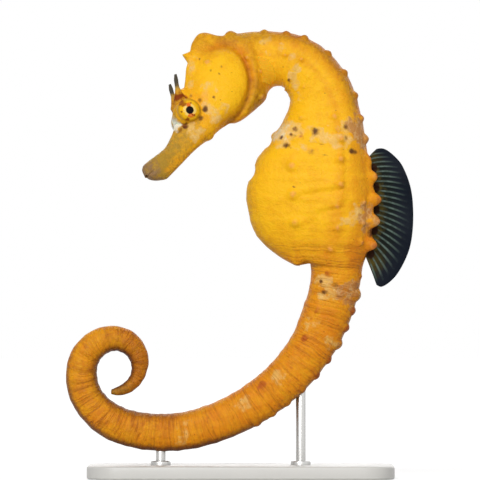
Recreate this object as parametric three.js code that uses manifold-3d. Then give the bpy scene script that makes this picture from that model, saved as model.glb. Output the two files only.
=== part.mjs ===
// A life-size model of a pot-bellied seahorse on a plain display stand, in millimetres, +Z up.
// The whole animal is one swept body on a midline of arcs, from the lips to the tip of the tail.
// Thin cuts part it into snout, head, neck, trunk and tail lengths. The coronet, gill covers, eyes,
// brow fronds and fins are pieces of their own. The animal faces -X, and its left side faces -Y.
// The origin is the middle of the stand's underside.

import * as THREE from "three";
import { mergeVertices } from "three/addons/utils/BufferGeometryUtils.js";
import Module from "manifold-3d";

const wasm = await Module();
wasm.setup();

// ---------------------------------------------------------------- driving dimensions, mm and degrees

const CUT = 0.3; // gap between neighbouring pieces

// The midline, from the lips to the tail's tip: name, length and turn towards the belly.
const ARCS = [
  ["snout", 20.9, 5],
  ["face", 10.9, -13],
  ["cheek", 13.2, 2],
  ["nape", 12.8, 32],
  ["crest", 12, 59],
  ["neck", 12, 30],
  ["shoulder", 12, 20],
  ["chest", 30, 0],
  ["belly", 15, 11],
  ["vent", 12, 13],
  ["tail base", 24.5, 26],
  ["tail upper", 24, 24],
  ["tail middle", 24, 32],
  ["tail low point", 12, 34],
  ["curl rising", 12, 49],
  ["curl crown", 12, 67],
  ["curl falling", 12, 86],
  ["curl inner", 12, 86],
  ["tail tip", 4, 28],
];
const SNOUT_HEADING = 45; // direction of the midline at the lips, up from +X
const TAIL_ROOT = { along: 139.8, x: 27.9, z: 56.7 }; // where the midline passes the root of the tail

// Half sizes of the body: distance along, back height, belly depth and half width.
const STATIONS = [
  [0, 1.4, 1.0, 0.8], // lips
  [1, 2.9, 2.6, 1.8],
  [2.6, 3.4, 3.9, 2.4],
  [5.2, 3.1, 4.8, 2.7], // jaw
  [10.5, 2.6, 4.5, 2.5], // middle of the snout
  [15.2, 3.9, 4.1, 2.8],
  [19.2, 5.9, 3.9, 3.3],
  [27.2, 9.9, 4.4, 4.6], // eye
  [31.2, 11.5, 5.4, 5.3],
  [33.4, 12.6, 7.2, 5.7], // chin
  [37.2, 14.4, 8.6, 6.3],
  [45.2, 15.8, 9.8, 6.9], // cheek
  [49.2, 13.9, 8.9, 6.7],
  [53.2, 10.8, 8.2, 6.4], // nape
  [57.2, 8.7, 8.8, 6.2],
  [61.2, 7.1, 10.0, 6.1], // crest of the neck
  [67.2, 6.5, 10.9, 6.3],
  [72.2, 6.5, 11.2, 6.6],
  [79.2, 6.8, 13.6, 7.4],
  [87.2, 6.9, 17.4, 8.4], // chest
  [95.2, 7.9, 20.8, 9.6],
  [101.2, 8.8, 24.9, 10.4],
  [111.2, 10.0, 27.9, 11.1], // deepest belly
  [119.2, 9.6, 26.7, 10.7],
  [127.2, 8.7, 22.5, 9.2],
  [131.2, 7.7, 18.4, 8.3],
  [132.6, 7.6, 15.4, 7.9], // end of the belly
  [133.4, 7.6, 8.4, 7.5], // vent
  [137.2, 7.5, 7.5, 7.2],
  [151.2, 7.2, 7.2, 6.6],
  [159.2, 6.9, 6.5, 6.3],
  [191.2, 6.0, 5.8, 5.3], // middle of the tail
  [217.2, 5.8, 5.2, 4.8],
  [241.2, 4.6, 4.9, 4.2],
  [265.2, 3.6, 3.4, 3.1],
  [277.2, 2.0, 2.2, 1.9],
  [286.3, 1.1, 1.4, 1.1],
  [287.3, 0.4, 0.5, 0.4], // tip of the tail
];

// How square the body's section is: distance along, back and belly. An ellipse is 2, and less is sharper.
const ROUNDNESS = [
  [0, 2.2, 2.2],
  [12, 2, 2.1],
  [20, 1.7, 2.1],
  [45, 1.7, 2],
  [60, 2.4, 2.1],
  [131, 2.4, 2],
  [140, 2.5, 2.5],
  [200, 2.4, 2.4],
  [280, 2, 2],
];

// The head is turned towards the animal's left, about a line through the nape that runs as the
// back-to-belly line does at the eye. The turn fades out down the neck.
const HEAD_TURN = { degrees: 25, pivot: 53.8, axisAt: 25.2, fullBefore: 43.2, noneAfter: 65.2 };

// The body rings that carry tubercles, from the crest of the neck to the middle of the tail.
const RINGS = [58.5, 65.5, 72, 78, 84, 89.6, 95, 100.6, 106.3, 112.6, 119.2, 125.9,
  134.8, 140.3, 146.6, 153.4, 159.5, 165.4, 170.9, 176.4];

// Rows of tubercles: angle from the back, height, radius, first and last ring along the body.
const TUBERCLE_ROWS = [
  { angle: 24, height: 0.8, radius: 1.3, from: 56, to: 98 }, // either side of the neck's crest
  { angle: 25, height: 3.3, radius: 2.2, from: 98, to: 128 }, // beside the dorsal fin
  { angle: 24, height: 1.0, radius: 1.1, from: 134, to: 180 }, // along the back of the tail
  { angle: 84, height: 0.8, radius: 1.0, from: 82, to: 150 }, // along the flank
  { angle: 124, height: 0.8, radius: 1.1, from: 92, to: 127 }, // along the belly
];
const TUBERCLE_SIDES = 5;

// Places on the head: distance along the midline, up from it, and out from the middle or round the side.
const EYE = { along: 23.7, up: 5.9, out: 4.2, radius: 3.6, depth: 2.6, socketBulge: 1.3, socketReach: 5 };
const GILL = {
  along: 38.5,
  up: 2.7,
  halfLength: 11.3,
  halfWidth: 6.5,
  tilt: 62,
  dome: 1.6,
  rim: 0.25,
  floor: 3.6,
};
const CORONET = { along: 44.6, up: 13.2, halfLength: 4.3, height: 4.8, halfWidth: 2.5, square: 0.75 };
const FOREHEAD_SPINE = { along: 38.8, up: 14.3, height: 3.6, radius: 1.3, lean: 63 };
const FROND = {
  along: 24.6,
  up: 8.7,
  out: 3.8,
  length: 9.4,
  rootRadius: 1.5,
  tipRadius: 0.45,
  lean: 61,
  bend: 1.1,
  spread: 0.5,
};
const CHEEK_SPINE = { along: 40, angle: 47, height: 1.0, radius: 1.1 };
const THROAT_SPINE = { along: 44.2, angle: 156, height: 0.7, radius: 0.9 };
const MOUTH_SLIT = { up: -0.2, depth: 2.6, width: 8, gape: 0.5 };

const DORSAL_FIN = { from: 99.8, to: 129.4, rays: 27, rows: 2, thickness: 0.8, ridge: 0.25, curl: 0.9 };
// The dorsal fin's rays: share along the base, length, and lean towards the tail in degrees.
const DORSAL_RAYS = [
  [0.0, 4.6, -46],
  [0.06, 6.6, -38],
  [0.2, 9.6, -22],
  [0.45, 11.5, -2],
  [0.7, 12.1, 20],
  [0.88, 11.4, 44],
  [1.0, 9.4, 66],
];
// The corners of each pectoral fin, as places along and up the side of the body.
const PECTORAL_FIN = {
  root: { top: [51.1, 1.2], bottom: [46.2, -5] },
  edge: { top: [54.4, -0.6], bottom: [51, -7] },
  rays: 15,
  rows: 2,
  thickness: 0.6,
  ridge: 0.1,
  bulge: 1,
  flare: 0.8,
};
const ANAL_FIN = {
  along: 134.4,
  length: 2.2,
  width: 2.2,
  rays: 4,
  rows: 1,
  thickness: 0.6,
  ridge: 0.05,
  taper: 0.4,
};

const STAND = {
  baseLength: 92,
  baseWidth: 48,
  baseHeight: 4,
  cornerRadius: 10,
  rodRadius: 1.5,
  rods: [
    { name: "front", x: -24, along: 213.7 },
    { name: "rear", x: 18, along: 162.7 },
  ],
};

// The plain lengths of the body: name, start, end, step between rings of vertices, sides and finish.
const HEAD = { from: 18.8, to: 53.6, step: 2.5, sides: 20 };
const TRUNK_END = 133.5;
const TAIL_TIP = 287.8;
const LENGTHS = [
  ["mouth", 0, 5.2, 1.05, 16, "snout"],
  ["snout", 5.2, HEAD.from, 2.6, 16, "snout"],
  ["neck_upper", HEAD.to, 68, 2.4, 20, "skin"],
  ["neck_lower", 68, 84.6, 2.8, 20, "skin"],
  ["chest", 84.6, 103.5, 3, 20, "skin"],
  ["trunk", 103.5, 122.5, 3, 20, "skin"],
  ["belly", 122.5, TRUNK_END, 1.5, 20, "skin"],
  ["tail_1", TRUNK_END, 161.5, 3.5, 16, "tail"],
  ["tail_2", 161.5, 190.4, 3.5, 16, "tail"],
  ["tail_3", 190.4, 213.5, 3.5, 16, "tail"],
  ["tail_4", 213.5, 231.5, 3.1, 16, "tail"],
  ["tail_5", 231.5, 246.1, 2.5, 14, "tail"],
  ["tail_6", 246.1, 259.6, 2.2, 14, "tail"],
  ["tail_7", 259.6, 273.2, 2, 12, "tail"],
  ["tail_tip", 273.2, TAIL_TIP, 1.9, 12, "tail"],
];

const finish = (color, roughness, metalness = 0) => ({ color, roughness, metalness });
const FINISHES = {
  skin: finish(0xe9a513, 0.5),
  tail: finish(0xcf8512, 0.55),
  snout: finish(0xb98f3a, 0.5),
  eye: finish(0xe8c02c, 0.1),
  frond: finish(0x4b4436, 0.6),
  dorsalFin: finish(0x12202a, 0.45),
  clearFin: finish(0xd9b45a, 0.4),
  base: finish(0xd8d6d0, 0.5),
  rod: finish(0xb8b8b8, 0.3, 1),
};

// ---------------------------------------------------------------- small mathematics

const { degToRad: radians, lerp } = THREE.MathUtils;
const SIDES = [["left", 1], ["right", -1]];

// A smooth curve through rows of [place, value, ...] that doesn't overshoot them.
function curveThrough(rows, column) {
  const last = rows.length - 1;
  const slopes = rows.slice(1).map((row, i) => (row[column] - rows[i][column]) / (row[0] - rows[i][0]));
  const tangents = rows.map((_, i) => {
    if (i === 0 || i === last) return slopes[Math.min(i, last - 1)];
    const [before, after] = [slopes[i - 1], slopes[i]];
    return before * after <= 0 ? 0 : (2 * before * after) / (before + after);
  });
  return (place) => {
    const x = THREE.MathUtils.clamp(place, rows[0][0], rows[last][0]);
    let i = 0;
    while (i < last - 1 && x > rows[i + 1][0]) i++;
    const width = rows[i + 1][0] - rows[i][0];
    const t = (x - rows[i][0]) / width;
    const rise = rows[i + 1][column] - rows[i][column];
    const bend = tangents[i] * width * (1 - t) - tangents[i + 1] * width * t + rise * (2 * t - 1);
    return rows[i][column] + rise * t + t * (1 - t) * bend;
  };
}

// ---------------------------------------------------------------- the midline and the body's surface

// Where the midline is, and which way it runs, at a distance along it from the lips.
function chainAt(along) {
  let [x, z, heading, left] = [0, 0, radians(SNOUT_HEADING), along];
  for (const [, length, turn] of ARCS) {
    const step = Math.min(left, length);
    const bend = (radians(turn) * step) / length;
    const chord = bend === 0 ? step : (2 * step * Math.sin(bend / 2)) / bend;
    x += chord * Math.cos(heading - bend / 2);
    z += chord * Math.sin(heading - bend / 2);
    heading -= bend;
    left -= step;
    if (left <= 0) break;
  }
  return { x, z, heading };
}

const chainRoot = chainAt(TAIL_ROOT.along);

// A frame on the midline: its point, the direction along it and the direction of the back.
function frameAt(along) {
  const { x, z, heading } = chainAt(along);
  return {
    point: new THREE.Vector3(TAIL_ROOT.x + x - chainRoot.x, 0, TAIL_ROOT.z + z - chainRoot.z),
    forward: new THREE.Vector3(Math.cos(heading), 0, Math.sin(heading)),
    back: new THREE.Vector3(-Math.sin(heading), 0, Math.cos(heading)),
  };
}

const turnPivot = frameAt(HEAD_TURN.pivot).point;
const turnAxis = frameAt(HEAD_TURN.axisAt).back;

// Turns a point of the head towards the animal's left, by how far along the body it belongs.
function turnHead(point, along) {
  const share = THREE.MathUtils.smoothstep(-along, -HEAD_TURN.noneAfter, -HEAD_TURN.fullBefore);
  return point
    .sub(turnPivot)
    .applyAxisAngle(turnAxis, radians(HEAD_TURN.degrees) * share)
    .add(turnPivot);
}

// A point of the body: along the bent midline, up from it towards the back, and out to the left.
function placeAt(along, up, left) {
  const { point, back } = frameAt(along);
  const place = point.addScaledVector(back, up);
  place.y = -left;
  return turnHead(place, along);
}

// A point near one place of the body, in the flat frame of the midline there.
function placeNear({ along, up, out = 0 }, side, shiftAlong, shiftUp, shiftLeft) {
  const { point, forward, back } = frameAt(along);
  const place = point.addScaledVector(back, up + shiftUp).addScaledVector(forward, shiftAlong);
  place.y = -(out * side + shiftLeft);
  return turnHead(place, along);
}

const [backHeight, bellyDepth, halfWidth] = [1, 2, 3].map((column) => curveThrough(STATIONS, column));
const [backRound, bellyRound] = [1, 2].map((column) => curveThrough(ROUNDNESS, column));

// The body's outline at a distance along it: height and width at an angle from the back, 90 being the left.
function outline(along, angle, swell) {
  const [c, q] = [Math.cos(angle), Math.sin(angle)];
  const power = 2 / (c > 0 ? backRound(along) : bellyRound(along));
  const reach = (c > 0 ? backHeight(along) : bellyDepth(along)) + swell;
  const width = halfWidth(along) + swell;
  return {
    up: Math.sign(c) * reach * Math.abs(c) ** power,
    left: Math.sign(q) * width * Math.abs(q) ** power,
  };
}

// How far the body's side is from the middle, at a height above or below the midline.
function sideAt(along, up) {
  const power = up > 0 ? backRound(along) : bellyRound(along);
  const reach = up > 0 ? backHeight(along) : bellyDepth(along);
  return halfWidth(along) * Math.max(0, 1 - Math.abs(up / reach) ** power) ** (1 / power);
}

// Which side a point is on, from -1 to 1, passing smoothly through the middle.
const sideShare = (left) => THREE.MathUtils.clamp(left / 1.5, -1, 1);

// How high the eye's turret stands over the skull at a point of the head's side.
function eyeTurret(along, up) {
  const far = Math.hypot(along - EYE.along, up - EYE.up) / EYE.socketReach;
  return far < 1 ? EYE.socketBulge * (1 - far * far) ** 1.5 : 0;
}

// The body's surface, which swells round the eyes. A fill of 0 is on the midline and 1 on the skin.
function bodyPoint(along, angle, swell, fill = 1) {
  const { up, left } = outline(along, angle, swell);
  const turret = eyeTurret(along, up) * sideShare(left);
  return placeAt(along, up * fill, (left + turret) * fill);
}

// The cheek with its gill covers domed out.
function gillPoint(along, angle, swell, fill) {
  const { up, left } = outline(along, angle, swell);
  const lean = radians(GILL.tilt);
  const [a, b] = [along - GILL.along, up - GILL.up];
  const length = (a * Math.sin(lean) + b * Math.cos(lean)) / GILL.halfLength;
  const width = (a * Math.cos(lean) - b * Math.sin(lean)) / GILL.halfWidth;
  const dome = GILL.rim + GILL.dome * Math.sqrt(Math.max(0, 1 - length * length - width * width));
  return placeAt(along, up * fill, (left + dome * sideShare(left)) * fill);
}

// ---------------------------------------------------------------- solids

// A closed geometry as a manifold-3d solid, with its faces turned outwards.
function solidOf(geometry) {
  const bare = geometry.clone();
  bare.deleteAttribute("normal");
  bare.deleteAttribute("uv");
  const merged = mergeVertices(bare, 1e-4);
  const triVerts = new Uint32Array(merged.index.array);
  const vertProperties = merged.attributes.position.array;
  const solid = new wasm.Manifold(new wasm.Mesh({ numProp: 3, vertProperties, triVerts }));
  if (solid.volume() > 0) return solid;
  for (let i = 0; i < triVerts.length; i += 3) {
    [triVerts[i + 1], triVerts[i + 2]] = [triVerts[i + 2], triVerts[i + 1]];
  }
  return new wasm.Manifold(new wasm.Mesh({ numProp: 3, vertProperties, triVerts }));
}

// A solid as a three.js geometry.
function geometryOf(solid) {
  const { vertProperties, triVerts } = solid.getMesh();
  const geometry = new THREE.BufferGeometry();
  geometry.setAttribute("position", new THREE.BufferAttribute(vertProperties, 3));
  geometry.setIndex(new THREE.BufferAttribute(triVerts, 1));
  geometry.computeVertexNormals();
  return geometry;
}

// Moves every vertex of a geometry by a function of its place, and makes it a solid.
function reshaped(geometry, move) {
  const positions = geometry.attributes.position;
  for (let i = 0; i < positions.count; i++) {
    const moved = move(new THREE.Vector3().fromBufferAttribute(positions, i));
    positions.setXYZ(i, moved.x, moved.y, moved.z);
  }
  return solidOf(geometry);
}

// A length of the body: a cylinder whose rings are carried to the body's surface.
function bodyLength({ from, to, step, sides }, surface = bodyPoint, swell = 0) {
  const count = Math.max(1, Math.round((to - from) / step));
  return reshaped(new THREE.CylinderGeometry(1, 1, 1, sides, count), ({ x, y, z }) => {
    const along = lerp(from, to, Math.round((0.5 - y) * count) / count);
    return surface(along, Math.atan2(x, z), swell, Math.hypot(x, z));
  });
}

// A small cone on the body's surface, pointing outwards, its foot sunk as deep as it stands high.
function tubercle({ along, angle, height, radius }, side) {
  const surface = bodyPoint(along, radians(angle) * side, 0);
  const outwards = bodyPoint(along, radians(angle) * side, 1).sub(surface).normalize();
  const cone = new THREE.ConeGeometry(radius * 2, height * 2, TUBERCLE_SIDES);
  cone.applyQuaternion(new THREE.Quaternion().setFromUnitVectors(THREE.Object3D.DEFAULT_UP, outwards));
  cone.translate(surface.x, surface.y, surface.z);
  return solidOf(cone);
}

// The tubercles of a length of the body, left and right, kept clear of its ends.
function tuberclesBetween(start, end) {
  return TUBERCLE_ROWS.flatMap(({ angle, height, radius, from, to }) =>
    RINGS.filter((ring) => ring > Math.max(start, from) && ring < Math.min(end, to)).flatMap((along) => {
      const room = Math.min(radius, (along - start) / 2.2, (end - along) / 2.2);
      return SIDES.map(([, side]) => tubercle({ along, angle, height, radius: room }, side));
    }),
  );
}

// ---------------------------------------------------------------- head

// The elliptical plug that cuts a gill cover, or its pocket, out of one side of the head.
function gillPlug(side, margin) {
  const lean = radians(GILL.tilt);
  const past = GILL.floor + 10; // beyond the dome
  return reshaped(new THREE.CylinderGeometry(1, 1, 1, 24, 1), (v) => {
    const across = v.x * (GILL.halfWidth + margin);
    const down = v.z * (GILL.halfLength + margin);
    const shiftAlong = across * Math.cos(lean) + down * Math.sin(lean);
    const shiftUp = down * Math.cos(lean) - across * Math.sin(lean);
    const out = v.y > 0 ? past : GILL.floor - margin;
    return placeAt(GILL.along + shiftAlong, GILL.up + shiftUp, side * out);
  });
}

// An eyeball, a little flattened, set in the side of the head.
function eyeball(side, margin) {
  const [radius, depth] = [EYE.radius + margin, EYE.depth + margin];
  const ball = new THREE.SphereGeometry(1, 16, 8).rotateX(Math.PI / 2);
  return reshaped(ball, (v) => placeNear(EYE, side, v.x * radius, v.y * radius, v.z * depth));
}

// The spine on the forehead: a cone that leans from the back towards the neck.
function foreheadSpine(margin) {
  const { height, radius, lean } = FOREHEAD_SPINE;
  const [cos, sin] = [Math.cos(radians(lean)), Math.sin(radians(lean))];
  return reshaped(new THREE.ConeGeometry(radius + margin, height, 7), (v) => {
    const rise = v.y + height / 2;
    return placeNear(FOREHEAD_SPINE, 1, rise * cos - v.x * sin, rise * sin + v.x * cos, v.z);
  });
}

// The brow frond: a soft tapered filament over each eye, curving up and back.
function frondRod(side, margin) {
  const { tipRadius, rootRadius, length, lean, bend, spread } = FROND;
  const [cos, sin] = [Math.cos(radians(lean)), Math.sin(radians(lean))];
  const rod = new THREE.CylinderGeometry(tipRadius + margin, rootRadius + margin, 1, 8, 5);
  return reshaped(rod, (v) => {
    const share = v.y + 0.5;
    const rise = share * length;
    const across = v.x - bend * share * share;
    return placeNear(
      FROND,
      side,
      rise * cos - across * sin,
      rise * sin + across * cos,
      v.z * 0.8 + side * spread * share * share,
    );
  });
}

// The coronet: a low crown on the back of the head, flat along its top and narrow from side to side.
function coronetBlock() {
  const { along, up, halfLength, height, halfWidth: wide, square } = CORONET;
  const squared = (v) => Math.sign(v) * Math.abs(v) ** square;
  return reshaped(new THREE.SphereGeometry(1, 16, 10), ({ x, y, z }) =>
    placeAt(along + squared(x) * halfLength, up + squared(y) * height, z * wide),
  );
}

const headLength = { ...HEAD, from: HEAD.from + CUT / 2, to: HEAD.to - CUT / 2 };

function buildHead() {
  const spines = [CHEEK_SPINE, THROAT_SPINE].flatMap((spine) =>
    SIDES.map(([, side]) => tubercle(spine, side)),
  );
  const whole = wasm.Manifold.union([bodyLength(headLength), foreheadSpine(0), ...spines]);
  const hollows = SIDES.flatMap(([, side]) =>
    [gillPlug(side, CUT), eyeball(side, CUT), frondRod(side, CUT)],
  );
  return whole.subtract(wasm.Manifold.union(hollows));
}

function buildCoronet() {
  return coronetBlock().subtract(bodyLength(headLength, bodyPoint, CUT)).subtract(foreheadSpine(CUT));
}

const domedHead = bodyLength({ ...headLength, sides: 30 }, gillPoint);
const buildGillCover = (side) => domedHead.intersect(gillPlug(side, 0));
const buildFrond = (side) => frondRod(side, 0).subtract(eyeball(side, CUT));

// ---------------------------------------------------------------- fins

// A thin fin: a slab whose length carries the rays, thickened on each ray and laid out by a function.
function finSolid({ rays, rows, thickness, ridge }, place) {
  const columns = rays * 2;
  return reshaped(new THREE.BoxGeometry(1, 1, 1, columns, rows, 1), (v) => {
    const [share, out] = [v.x + 0.5, v.y + 0.5];
    const onRay = Math.round(share * columns) % 2;
    const half = thickness / 2 + onRay * ridge * (1 - 0.6 * out);
    return place(share, out, Math.sign(v.z) * half);
  });
}

const rayLength = curveThrough(DORSAL_RAYS, 1);
const rayLean = curveThrough(DORSAL_RAYS, 2);

// The dorsal fin stands on the middle of the back and fans out towards both ends.
function buildDorsalFin() {
  return finSolid(DORSAL_FIN, (share, out, across) => {
    const along = lerp(DORSAL_FIN.from, DORSAL_FIN.to, share);
    const lean = radians(rayLean(share));
    const reach = out * rayLength(share);
    const root = { along, up: backHeight(along) + CUT };
    const shiftAlong = reach * Math.sin(lean) + DORSAL_FIN.curl * out * out;
    return placeNear(root, 1, shiftAlong, reach * Math.cos(lean), across);
  });
}

// A pectoral fin: a small fan behind each gill cover, folded back along the neck.
function buildPectoralFin(side) {
  const { root, edge, thickness, ridge, bulge, flare } = PECTORAL_FIN;
  return finSolid(PECTORAL_FIN, (share, out, across) => {
    const [along, up] = [0, 1].map((i) =>
      lerp(lerp(root.top[i], root.bottom[i], share), lerp(edge.top[i], edge.bottom[i], share), out),
    );
    const round = bulge * out * Math.sin(Math.PI * share);
    const clear = CUT + thickness / 2 + ridge + CUT / 2 + flare * out;
    return placeAt(along + round, up, side * (sideAt(along, up) + clear + across));
  });
}

// The anal fin: a tiny blade in the corner under the belly's end.
function buildAnalFin() {
  const { length, width, taper } = ANAL_FIN;
  return finSolid(ANAL_FIN, (share, out, across) => {
    const along = ANAL_FIN.along + share * width;
    const depth = bellyDepth(along) + CUT + out * length * (1 - taper * share);
    return placeAt(along, -depth, across);
  });
}

// ---------------------------------------------------------------- stand

// A flat plate with round corners, lying on the ground.
function buildBase() {
  const { baseLength, baseWidth, baseHeight, cornerRadius } = STAND;
  const [x, y] = [baseLength / 2 - cornerRadius, baseWidth / 2 - cornerRadius];
  const shape = new THREE.Shape();
  [[x, -y], [x, y], [-x, y], [-x, -y]].forEach(([cx, cy], corner) => {
    const start = (corner - 1) * (Math.PI / 2);
    shape.absarc(cx, cy, cornerRadius, start, start + Math.PI / 2);
  });
  const slab = { depth: baseHeight, bevelEnabled: false, curveSegments: 6 };
  return solidOf(new THREE.ExtrudeGeometry(shape, slab));
}

// A rod from the base up to the underside of the tail, cut to the tail's own shape.
function buildRod({ x, along }) {
  const bottom = STAND.baseHeight + CUT;
  const top = frameAt(along).point.z;
  const rod = new THREE.CylinderGeometry(STAND.rodRadius, STAND.rodRadius, top - bottom, 14)
    .rotateX(Math.PI / 2)
    .translate(x, 0, (top + bottom) / 2);
  const tail = bodyLength({ from: along - 15, to: along + 15, step: 2.5, sides: 20 }, bodyPoint, CUT);
  return solidOf(rod).subtract(tail);
}

// ---------------------------------------------------------------- the model

// The small mouth: a thin wedge cut into the lips.
function mouthSlit() {
  const { up, depth, width, gape } = MOUTH_SLIT;
  return reshaped(new THREE.BoxGeometry(1, 1, 1), (v) => {
    const inward = v.x + 0.5;
    const open = gape * (1 - 0.8 * inward);
    return placeNear({ along: 0, up }, 1, lerp(-1, depth, inward), v.y * open, v.z * width);
  });
}

// One of the plain lengths of the body, with its tubercles.
function buildLength(start, end, step, sides) {
  const from = start === 0 ? start : start + CUT / 2;
  const to = end === TAIL_TIP ? end : end - CUT / 2;
  const flesh = bodyLength({ from, to, step, sides });
  const whole = wasm.Manifold.union([flesh, ...tuberclesBetween(from, to)]);
  return start === 0 ? whole.subtract(mouthSlit()) : whole;
}

const seahorse = new THREE.Group();

function add(name, solid, finishName) {
  const mesh = new THREE.Mesh(geometryOf(solid), new THREE.MeshStandardMaterial(FINISHES[finishName]));
  mesh.name = name;
  seahorse.add(mesh);
}

for (const [name, start, end, step, sides, finishName] of LENGTHS) {
  add(name, buildLength(start, end, step, sides), finishName);
}
add("head", buildHead(), "skin");
add("coronet", buildCoronet(), "skin");
for (const [label, side] of SIDES) {
  add(`gill_cover_${label}`, buildGillCover(side), "skin");
  add(`eye_${label}`, eyeball(side, 0), "eye");
  add(`brow_frond_${label}`, buildFrond(side), "frond");
  add(`pectoral_fin_${label}`, buildPectoralFin(side), "clearFin");
}
add("dorsal_fin", buildDorsalFin(), "dorsalFin");
add("anal_fin", buildAnalFin(), "clearFin");
add("stand_base", buildBase(), "base");
for (const rod of STAND.rods) {
  add(`stand_rod_${rod.name}`, buildRod(rod), "rod");
}

export default seahorse;
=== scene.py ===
"""A life-size pot-bellied seahorse on a plain display stand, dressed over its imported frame.

The animal is modelled straight and then bent along its midline, as a maker would pose a cast. A place on it is
given by its distance along the midline from the lips, its height up from the midline towards the back, and its
distance out to the animal's left. Lengths in the classes are millimetres and angles are degrees, apart from those
that say radians, and meshes are metres.
"""

import logging
import math
from dataclasses import dataclass, field
from enum import Enum
from typing import Callable, Sequence

import bpy
import numpy as np
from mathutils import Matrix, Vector


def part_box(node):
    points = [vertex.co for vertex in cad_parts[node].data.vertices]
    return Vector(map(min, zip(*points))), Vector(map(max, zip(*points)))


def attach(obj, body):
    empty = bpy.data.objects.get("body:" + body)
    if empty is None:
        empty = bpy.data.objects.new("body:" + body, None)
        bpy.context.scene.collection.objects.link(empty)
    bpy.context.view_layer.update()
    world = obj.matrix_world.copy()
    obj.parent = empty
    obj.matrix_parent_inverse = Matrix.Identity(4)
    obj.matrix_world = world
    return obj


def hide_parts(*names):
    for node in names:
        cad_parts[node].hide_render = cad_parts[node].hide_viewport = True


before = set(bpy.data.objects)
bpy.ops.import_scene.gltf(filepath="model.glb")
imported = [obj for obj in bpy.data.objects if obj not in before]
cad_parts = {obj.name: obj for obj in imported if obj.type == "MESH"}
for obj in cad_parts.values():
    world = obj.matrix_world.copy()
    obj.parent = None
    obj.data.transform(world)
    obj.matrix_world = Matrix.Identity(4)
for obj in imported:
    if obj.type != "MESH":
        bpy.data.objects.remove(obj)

MM = 0.001  # metres in a millimetre
LOG = logging.getLogger("seahorse")
Colour = tuple[float, float, float]
Rows = tuple[tuple[float, ...], ...]
Places = np.ndarray
Piece = bpy.types.Object
Socket = bpy.types.NodeSocket


# ---------------------------------------------------------------- small mathematics


@dataclass(frozen=True)
class Curve:
    """A smooth curve through (place, value) rows that never overshoots them.

    Args:
        rows: the rows, in rising order of place.
    """

    rows: Rows

    def __call__(self, place: Places | float) -> Places:
        """Reads the curve.

        Args:
            place: where to read it; places past the ends give the end values.

        Returns:
            The value at each place.
        """
        xs, ys = (np.array(column, float) for column in zip(*self.rows))
        slopes = np.diff(ys) / np.diff(xs)
        before, after = slopes[:-1], slopes[1:]
        total = np.where(before + after == 0, 1.0, before + after)
        inner = np.where(before * after <= 0, 0.0, 2 * before * after / total)
        tangents = np.concatenate([slopes[:1], inner, slopes[-1:]])
        x = np.clip(place, xs[0], xs[-1])
        i = np.clip(np.searchsorted(xs, x, side="right") - 1, 0, len(xs) - 2)
        width = xs[i + 1] - xs[i]
        t = (x - xs[i]) / width
        rise = ys[i + 1] - ys[i]
        bend = tangents[i] * width * (1 - t) - tangents[i + 1] * width * t + rise * (2 * t - 1)
        return ys[i] + rise * t + t * (1 - t) * bend


def smooth_step(value: Places, low: float, high: float) -> Places:
    """Rises smoothly from 0 at low to 1 at high, or falls where low is above high."""
    t = np.clip((value - low) / (high - low), 0, 1)
    return t * t * (3 - 2 * t)


def plateau(value: Places, start: float, full: float, fading: float, end: float) -> Places:
    """Rises smoothly from 0 at the start, stays at 1 while full, and falls to 0 at the end."""
    return smooth_step(value, start, full) * smooth_step(value, end, fading)


def knob(distance: Places, reach: float, sharpness: float = 2.0) -> Places:
    """A rounded bump that is 1 at its middle and 0 from its reach outwards."""
    return np.clip(1 - (np.abs(distance) / reach) ** 2, 0, 1) ** sharpness


def bell(value: Places, centre: float | Places, width: float) -> Places:
    """A bell-shaped bump that is 1 at its centre."""
    return np.exp(-(((value - centre) / width) ** 2))


def curves(rows: Rows) -> tuple[Curve, ...]:
    """Makes a curve of each column of a table but the first, which holds the places."""
    places, *columns = zip(*rows)
    return tuple(Curve(tuple(zip(places, column))) for column in columns)


def spaced(places: Places, density: Places, count: int) -> Places:
    """Spaces places out over a stretch, closer together where they are wanted more.

    Args:
        places: the stretch, in small steps.
        density: how closely they are wanted at each step.
        count: how many there are to be.

    Returns:
        The spaced places, from the stretch's start to its end.
    """
    reached = np.cumsum(density)
    reached = (reached - reached[0]) / (reached[-1] - reached[0])
    return np.interp(np.linspace(0, 1, count), reached, places)


class Grain:
    """A smooth random field from -1 to 1, the same on each run."""

    size = 64

    def __init__(self, seed: int) -> None:
        """Fills the lattice.

        Args:
            seed: which field it is.
        """
        self.lattice = np.random.default_rng(seed).uniform(-1, 1, (self.size,) * 3)

    def __call__(self, *coordinates: Places) -> Places:
        """Reads the field.

        Args:
            coordinates: the place along each of three axes, in cells.

        Returns:
            The field's value at each place.
        """
        lower = [np.floor(c).astype(int) for c in coordinates]
        eased = [(c - low) ** 2 * (3 - 2 * (c - low)) for c, low in zip(coordinates, lower)]
        total = np.zeros(np.shape(coordinates[0]))
        for corner in np.ndindex(2, 2, 2):
            weight = 1.0
            for step, share in zip(corner, eased):
                weight = weight * (share if step else 1 - share)
            index = tuple((low + step) % self.size for low, step in zip(lower, corner))
            total = total + weight * self.lattice[index]
        return total


# ---------------------------------------------------------------- the body's form


class Side(Enum):
    """The two sides of the animal, as the sign of a distance to its left."""

    LEFT = 1
    RIGHT = -1

    @property
    def label(self) -> str:
        """The side's name as the frame's nodes have it."""
        return self.name.lower()


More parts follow.
